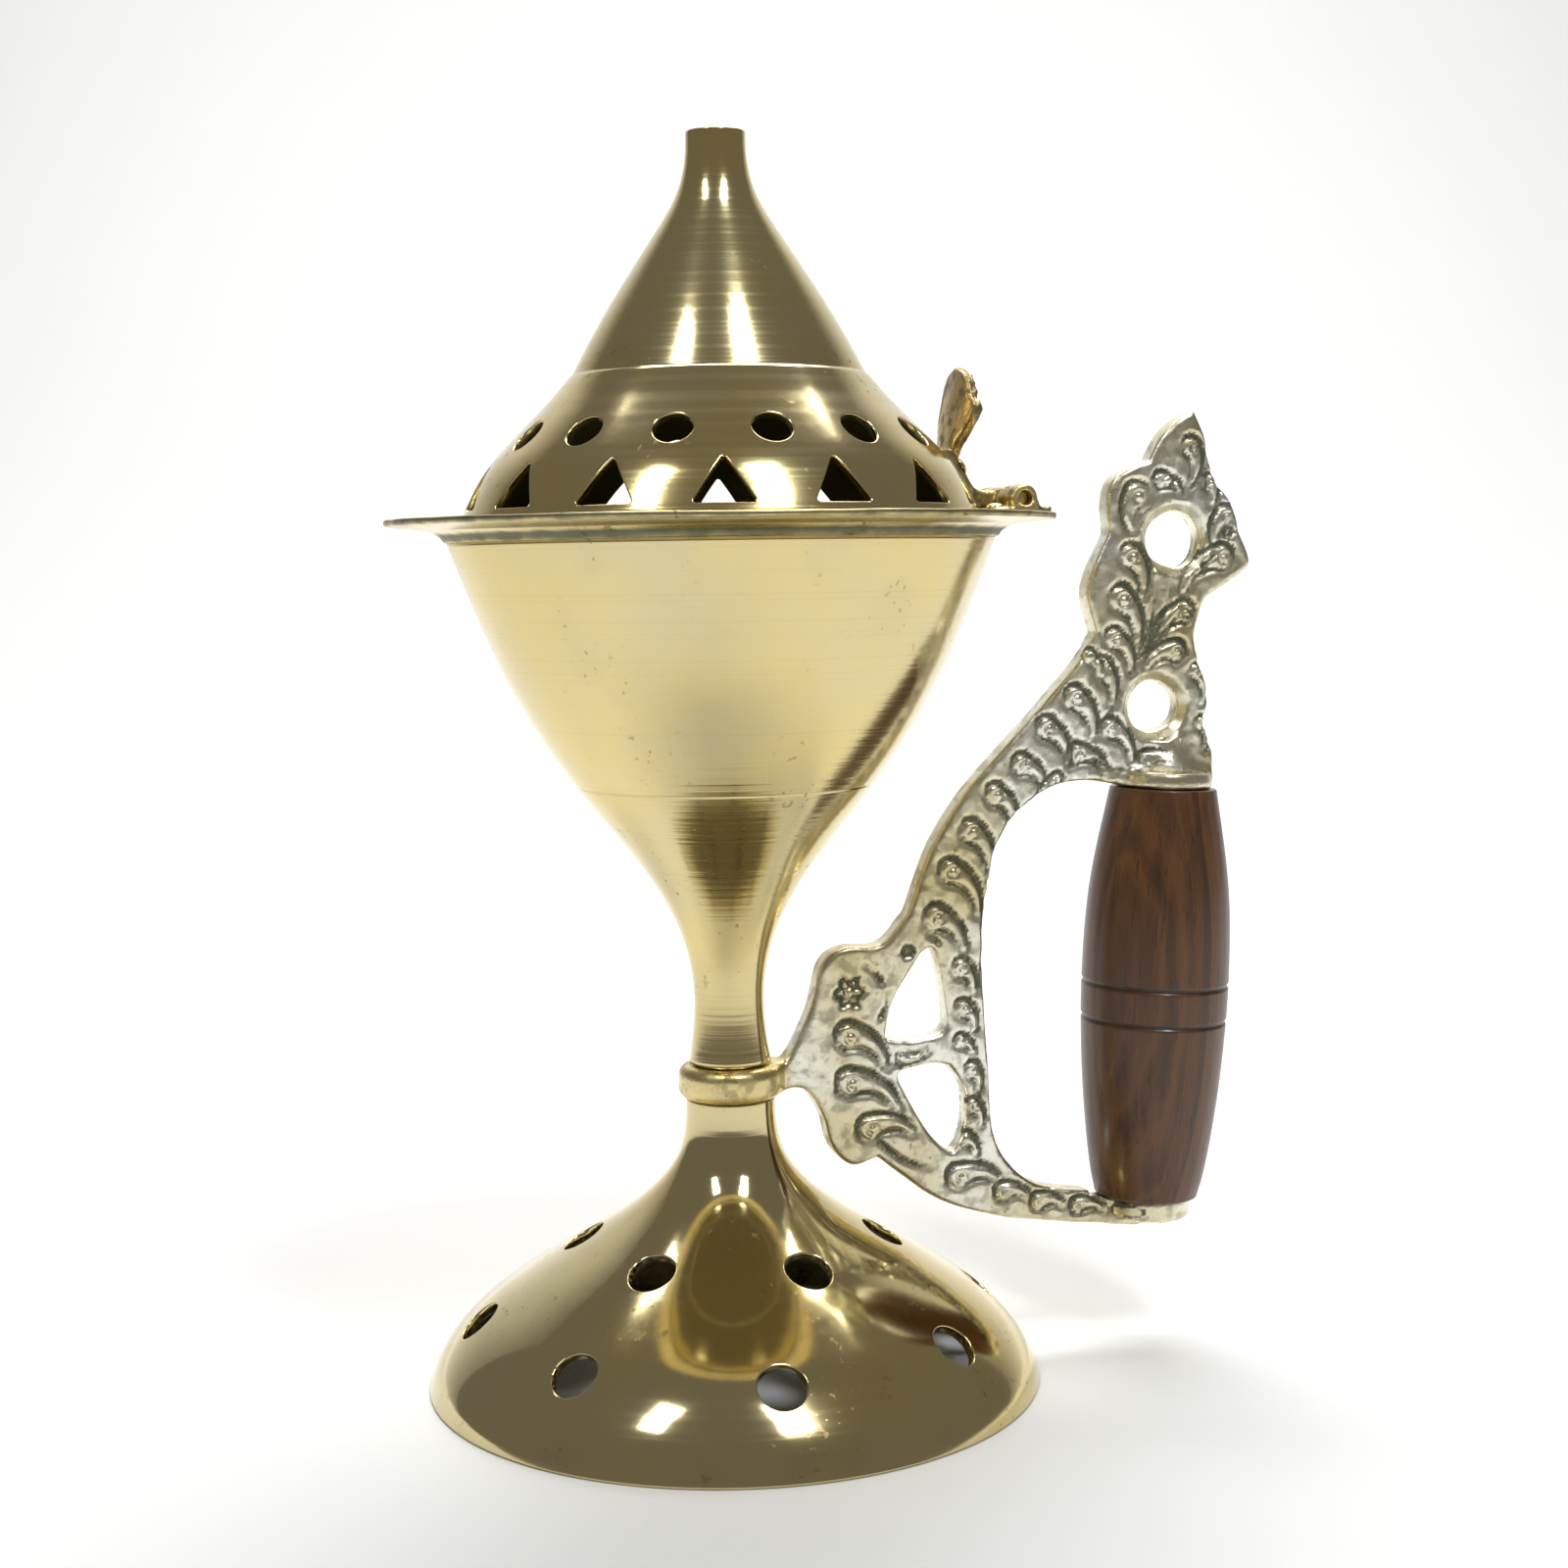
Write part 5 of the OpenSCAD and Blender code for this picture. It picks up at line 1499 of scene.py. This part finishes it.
def build_fittings():
    """Threaded stud, washer and chamfered nut under the foot."""
    angle = np.arange(72) * TAU / 72
    around = np.stack([np.cos(angle), np.sin(angle)], axis=1)

    def row(radius, z):
        radius, z = np.broadcast_to(radius, 72), np.broadcast_to(z, 72)
        return np.concatenate([around * radius[:, None], z[:, None]], axis=1)

    low, high, stud_r = STUD_LOW[2], STUD_HIGH[2], STUD_HIGH[0]
    pitch, threaded = 1.0, NUT_HIGH[2] + 0.4
    rows = [row(0, low), row(stud_r - 0.75, low)]
    for z in np.arange(low + 0.3, threaded, pitch / 8):
        phase = (z / pitch - angle / TAU) % 1.0
        rows.append(row(stud_r - 0.45 * (1 - np.abs(2 * phase - 1)) ** 0.8 - 0.05, z))
    rows += [row(stud_r, threaded + 0.3), row(stud_r, high - 0.4), row(stud_r - 0.4, high), row(0, high)]
    stud = grid_object("stem_stud_threaded", rows)
    weld(stud.data)
    shade(stud, 50)
    finished(stud, fitting_brass(), "fitting_brass", "censer", "stem_stud")

    bore, half_flat = stud_r, NUT_HIGH[1]
    hexagon = half_flat / np.cos(angle % (math.pi / 3) - math.pi / 6)
    fall = (hexagon - half_flat * 0.96) * math.tan(math.radians(28))
    z0, z1 = NUT_LOW[2], NUT_HIGH[2]
    rows = [row(bore, (z0 + z1) / 2), row(bore, z0 + 0.4), row(bore + 0.4, z0), row(half_flat * 0.96, z0),
            row(hexagon, z0 + fall), row(hexagon, z1 - fall), row(half_flat * 0.96, z1), row(bore + 0.4, z1),
            row(bore, z1 - 0.4), row(bore, (z0 + z1) / 2)]
    nut = grid_object("foot_nut_hex", rows)
    weld(nut.data)
    shade(nut, 20)
    finished(nut, fitting_brass(), "fitting_brass", "censer", "foot_nut")

    inner, outer, z0, z1 = STUD_WAY, WASHER_HIGH[0], WASHER_LOW[2], WASHER_HIGH[2]
    mid = (z0 + z1) / 2
    corners = [(inner, mid), (inner, z0), (outer, z0), (outer, z1), (inner, z1), (inner, mid)]
    washer = turned("foot_washer_ring", rounded_corners(corners, 0.25), fitting_brass(), segments=96)
    shade(washer, 45)
    finished(washer, fitting_brass(), "fitting_brass", "censer", "foot_washer")


# ------------------------------------------------------------------ stage


def soft_box(name, size, place, aim, power, colour=(1.0, 1.0, 1.0)):
    """A rectangular light, size in metres, that faces a point."""
    light = bpy.data.lights.new(name, "AREA")
    light.shape, light.size, light.size_y = "RECTANGLE", *size
    light.energy, light.color = power, colour
    obj = bpy.data.objects.new(name, light)
    obj.location = place
    obj.rotation_euler = (Vector(aim) - Vector(place)).to_track_quat("-Z", "Y").to_euler()
    bpy.context.scene.collection.objects.link(obj)
    return obj


def build_stage():
    """Pale sheet that sweeps up behind the censer, soft lights and the camera."""
    settings = bpy.context.scene.censer_stage
    heading = settings.heading
    ahead = Vector((math.sin(heading), math.cos(heading), 0))
    right = Vector((math.cos(heading), -math.sin(heading), 0))
    bend = np.linspace(0, math.pi / 2, 15)
    sweep = [(-1.6, 0.0), (-0.6, 0.0), (0.3, 0.0)]
    sweep += [(1.0 + 0.7 * math.sin(a), 0.7 - 0.7 * math.cos(a)) for a in bend]
    sweep.append((1.7, 2.2))
    verts = [ahead * y + right * x + Vector((0, 0, z)) for y, z in sweep for x in (-2.2, 2.2)]
    faces = [(2 * i, 2 * i + 1, 2 * i + 3, 2 * i + 2) for i in range(len(sweep) - 1)]
    floor = mesh_object("floor", verts, faces, 1.0)
    floor.data.materials.append(floor_paint())
    floor.data.shade_smooth()

    world = bpy.data.worlds.new("studio")
    bpy.context.scene.world = world
    world.use_nodes = True
    world.node_tree.nodes["Background"].inputs["Color"].default_value = (1.0, 0.94, 0.84, 1.0)
    world.node_tree.nodes["Background"].inputs["Strength"].default_value = settings.room

    centre = Vector((0.02, 0.0, 0.1))

    def at(azimuth, elevation, distance):
        """A point round the censer: azimuth to the right of the camera, both angles in degrees."""
        a, e = math.radians(azimuth), math.radians(elevation)
        level = right * math.sin(a) - ahead * math.cos(a)
        return centre + distance * (level * math.cos(e) + Vector((0, 0, math.sin(e))))

    soft_box("overhead", (0.9, 0.6), at(172, 58, 1.4), centre, settings.overhead)
    daylight = (0.94, 0.97, 1.0)
    soft_box("window_right", (0.2, 0.44), at(30, 57, 1.3), centre, settings.windows, daylight)
    soft_box("window_left", (0.16, 0.36), at(-41, 54, 1.3), centre, settings.windows * 0.5, daylight)
    soft_box("backdrop_light", (1.6, 0.5), centre + ahead * 0.7 + Vector((0, 0, 1.7)),
             centre + ahead * 1.6 + Vector((0, 0, 0.5)), settings.overhead * 2.6)

    camera = bpy.data.cameras.new("camera")
    camera.lens, camera.sensor_width = settings.lens, 36.0
    camera.clip_start, camera.clip_end = 0.01, 20.0
    view = bpy.data.objects.new("camera", camera)
    tilt = settings.tilt
    place = -ahead * settings.distance + right * settings.aside + Vector((0, 0, settings.height))
    turn = (Matrix.Rotation(-heading, 4, "Z") @ Matrix.Rotation(math.pi / 2 - tilt, 4, "X")
            @ Matrix.Rotation(settings.roll, 4, "Z"))
    view.matrix_world = Matrix.Translation(place) @ turn
    bpy.context.scene.collection.objects.link(view)
    bpy.context.scene.camera = view
    bpy.context.scene.view_settings.view_transform = "Standard"


# ------------------------------------------------------- operators, panel


class CENSER_OT_foot(bpy.types.Operator):
    """Turns the bell foot and cuts its two rows of vents"""

    bl_idname = "censer.foot"
    bl_label = "Build the foot"

    def execute(self, context):
        build_foot()
        return {"FINISHED"}


class CENSER_OT_bowl(bpy.types.Operator):
    """Turns the bowl and its slender stem"""

    bl_idname = "censer.bowl"
    bl_label = "Build the bowl"

    def execute(self, context):
        build_bowl()
        return {"FINISHED"}


class CENSER_OT_rim(bpy.types.Operator):
    """Turns the flange ring on the bowl's mouth"""

    bl_idname = "censer.rim"
    bl_label = "Build the rim ring"

    def execute(self, context):
        build_rim()
        return {"FINISHED"}


class CENSER_OT_lid(bpy.types.Operator):
    """Turns the lid and cuts its triangles and round holes"""

    bl_idname = "censer.lid"
    bl_label = "Build the lid"

    def execute(self, context):
        build_lid()
        return {"FINISHED"}


class CENSER_OT_screen(bpy.types.Operator):
    """Makes the pierced dish for the charcoal"""

    bl_idname = "censer.screen"
    bl_label = "Build the charcoal screen"

    def execute(self, context):
        build_screen()
        return {"FINISHED"}


class CENSER_OT_handle(bpy.types.Operator):
    """Casts the handle with its collar, scrolls and eyelets"""

    bl_idname = "censer.handle"
    bl_label = "Build the cast handle"

    def execute(self, context):
        build_handle()
        return {"FINISHED"}


class CENSER_OT_grip(bpy.types.Operator):
    """Turns the wooden grip and gives its rod a finish"""

    bl_idname = "censer.grip"
    bl_label = "Build the wooden grip"

    def execute(self, context):
        build_grip()
        return {"FINISHED"}


class CENSER_OT_hinge(bpy.types.Operator):
    """Casts both halves of the hinge and puts the pin in"""

    bl_idname = "censer.hinge"
    bl_label = "Build the hinge"

    def execute(self, context):
        build_hinge()
        return {"FINISHED"}


class CENSER_OT_rivets(bpy.types.Operator):
    """Sets the rivets of the hinge on ring and lid"""

    bl_idname = "censer.rivets"
    bl_label = "Build the rivets"

    def execute(self, context):
        build_rivets()
        return {"FINISHED"}


class CENSER_OT_fittings(bpy.types.Operator):
    """Makes the stud, the washer and the nut under the foot"""

    bl_idname = "censer.fittings"
    bl_label = "Build the foot's fittings"

    def execute(self, context):
        build_fittings()
        return {"FINISHED"}


class CENSER_OT_stage(bpy.types.Operator):
    """Lays the pale sheet and sets the lights and the camera"""

    bl_idname = "censer.stage"
    bl_label = "Build the stage"

    def execute(self, context):
        build_stage()
        return {"FINISHED"}


OPERATORS = [
    CENSER_OT_foot, CENSER_OT_bowl, CENSER_OT_rim,
    CENSER_OT_lid, CENSER_OT_screen, CENSER_OT_handle,
    CENSER_OT_grip, CENSER_OT_hinge, CENSER_OT_rivets,
    CENSER_OT_fittings, CENSER_OT_stage,
]


class CENSER_PT_panel(bpy.types.Panel):
    """Sizes, colours and the steps that build the censer"""

    bl_label = "Censer"
    bl_idname = "CENSER_PT_panel"
    bl_space_type = "VIEW_3D"
    bl_region_type = "UI"
    bl_category = "Censer"

    def draw(self, context):
        for group in (context.scene.censer_sizes, context.scene.censer_colours, context.scene.censer_stage):
            box = self.layout.box()
            for name in group.__annotations__:
                box.prop(group, name)
        column = self.layout.column()
        for step in OPERATORS:
            column.operator(step.bl_idname)


CLASSES = [CenserSizes, CenserColours, CenserStage, *OPERATORS, CENSER_PT_panel]


def register():
    for item in CLASSES:
        bpy.utils.register_class(item)
    bpy.types.Scene.censer_sizes = bpy.props.PointerProperty(type=CenserSizes)
    bpy.types.Scene.censer_colours = bpy.props.PointerProperty(type=CenserColours)
    bpy.types.Scene.censer_stage = bpy.props.PointerProperty(type=CenserStage)


def unregister():
    for name in ("censer_stage", "censer_colours", "censer_sizes"):
        delattr(bpy.types.Scene, name)
    for item in reversed(CLASSES):
        bpy.utils.unregister_class(item)


def main():
    """Registers the add-on and builds every piece in order."""
    register()
    for step in OPERATORS:
        group, name = step.bl_idname.split(".")
        getattr(getattr(bpy.ops, group), name)()
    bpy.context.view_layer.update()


if __name__ == "__main__":
    main()
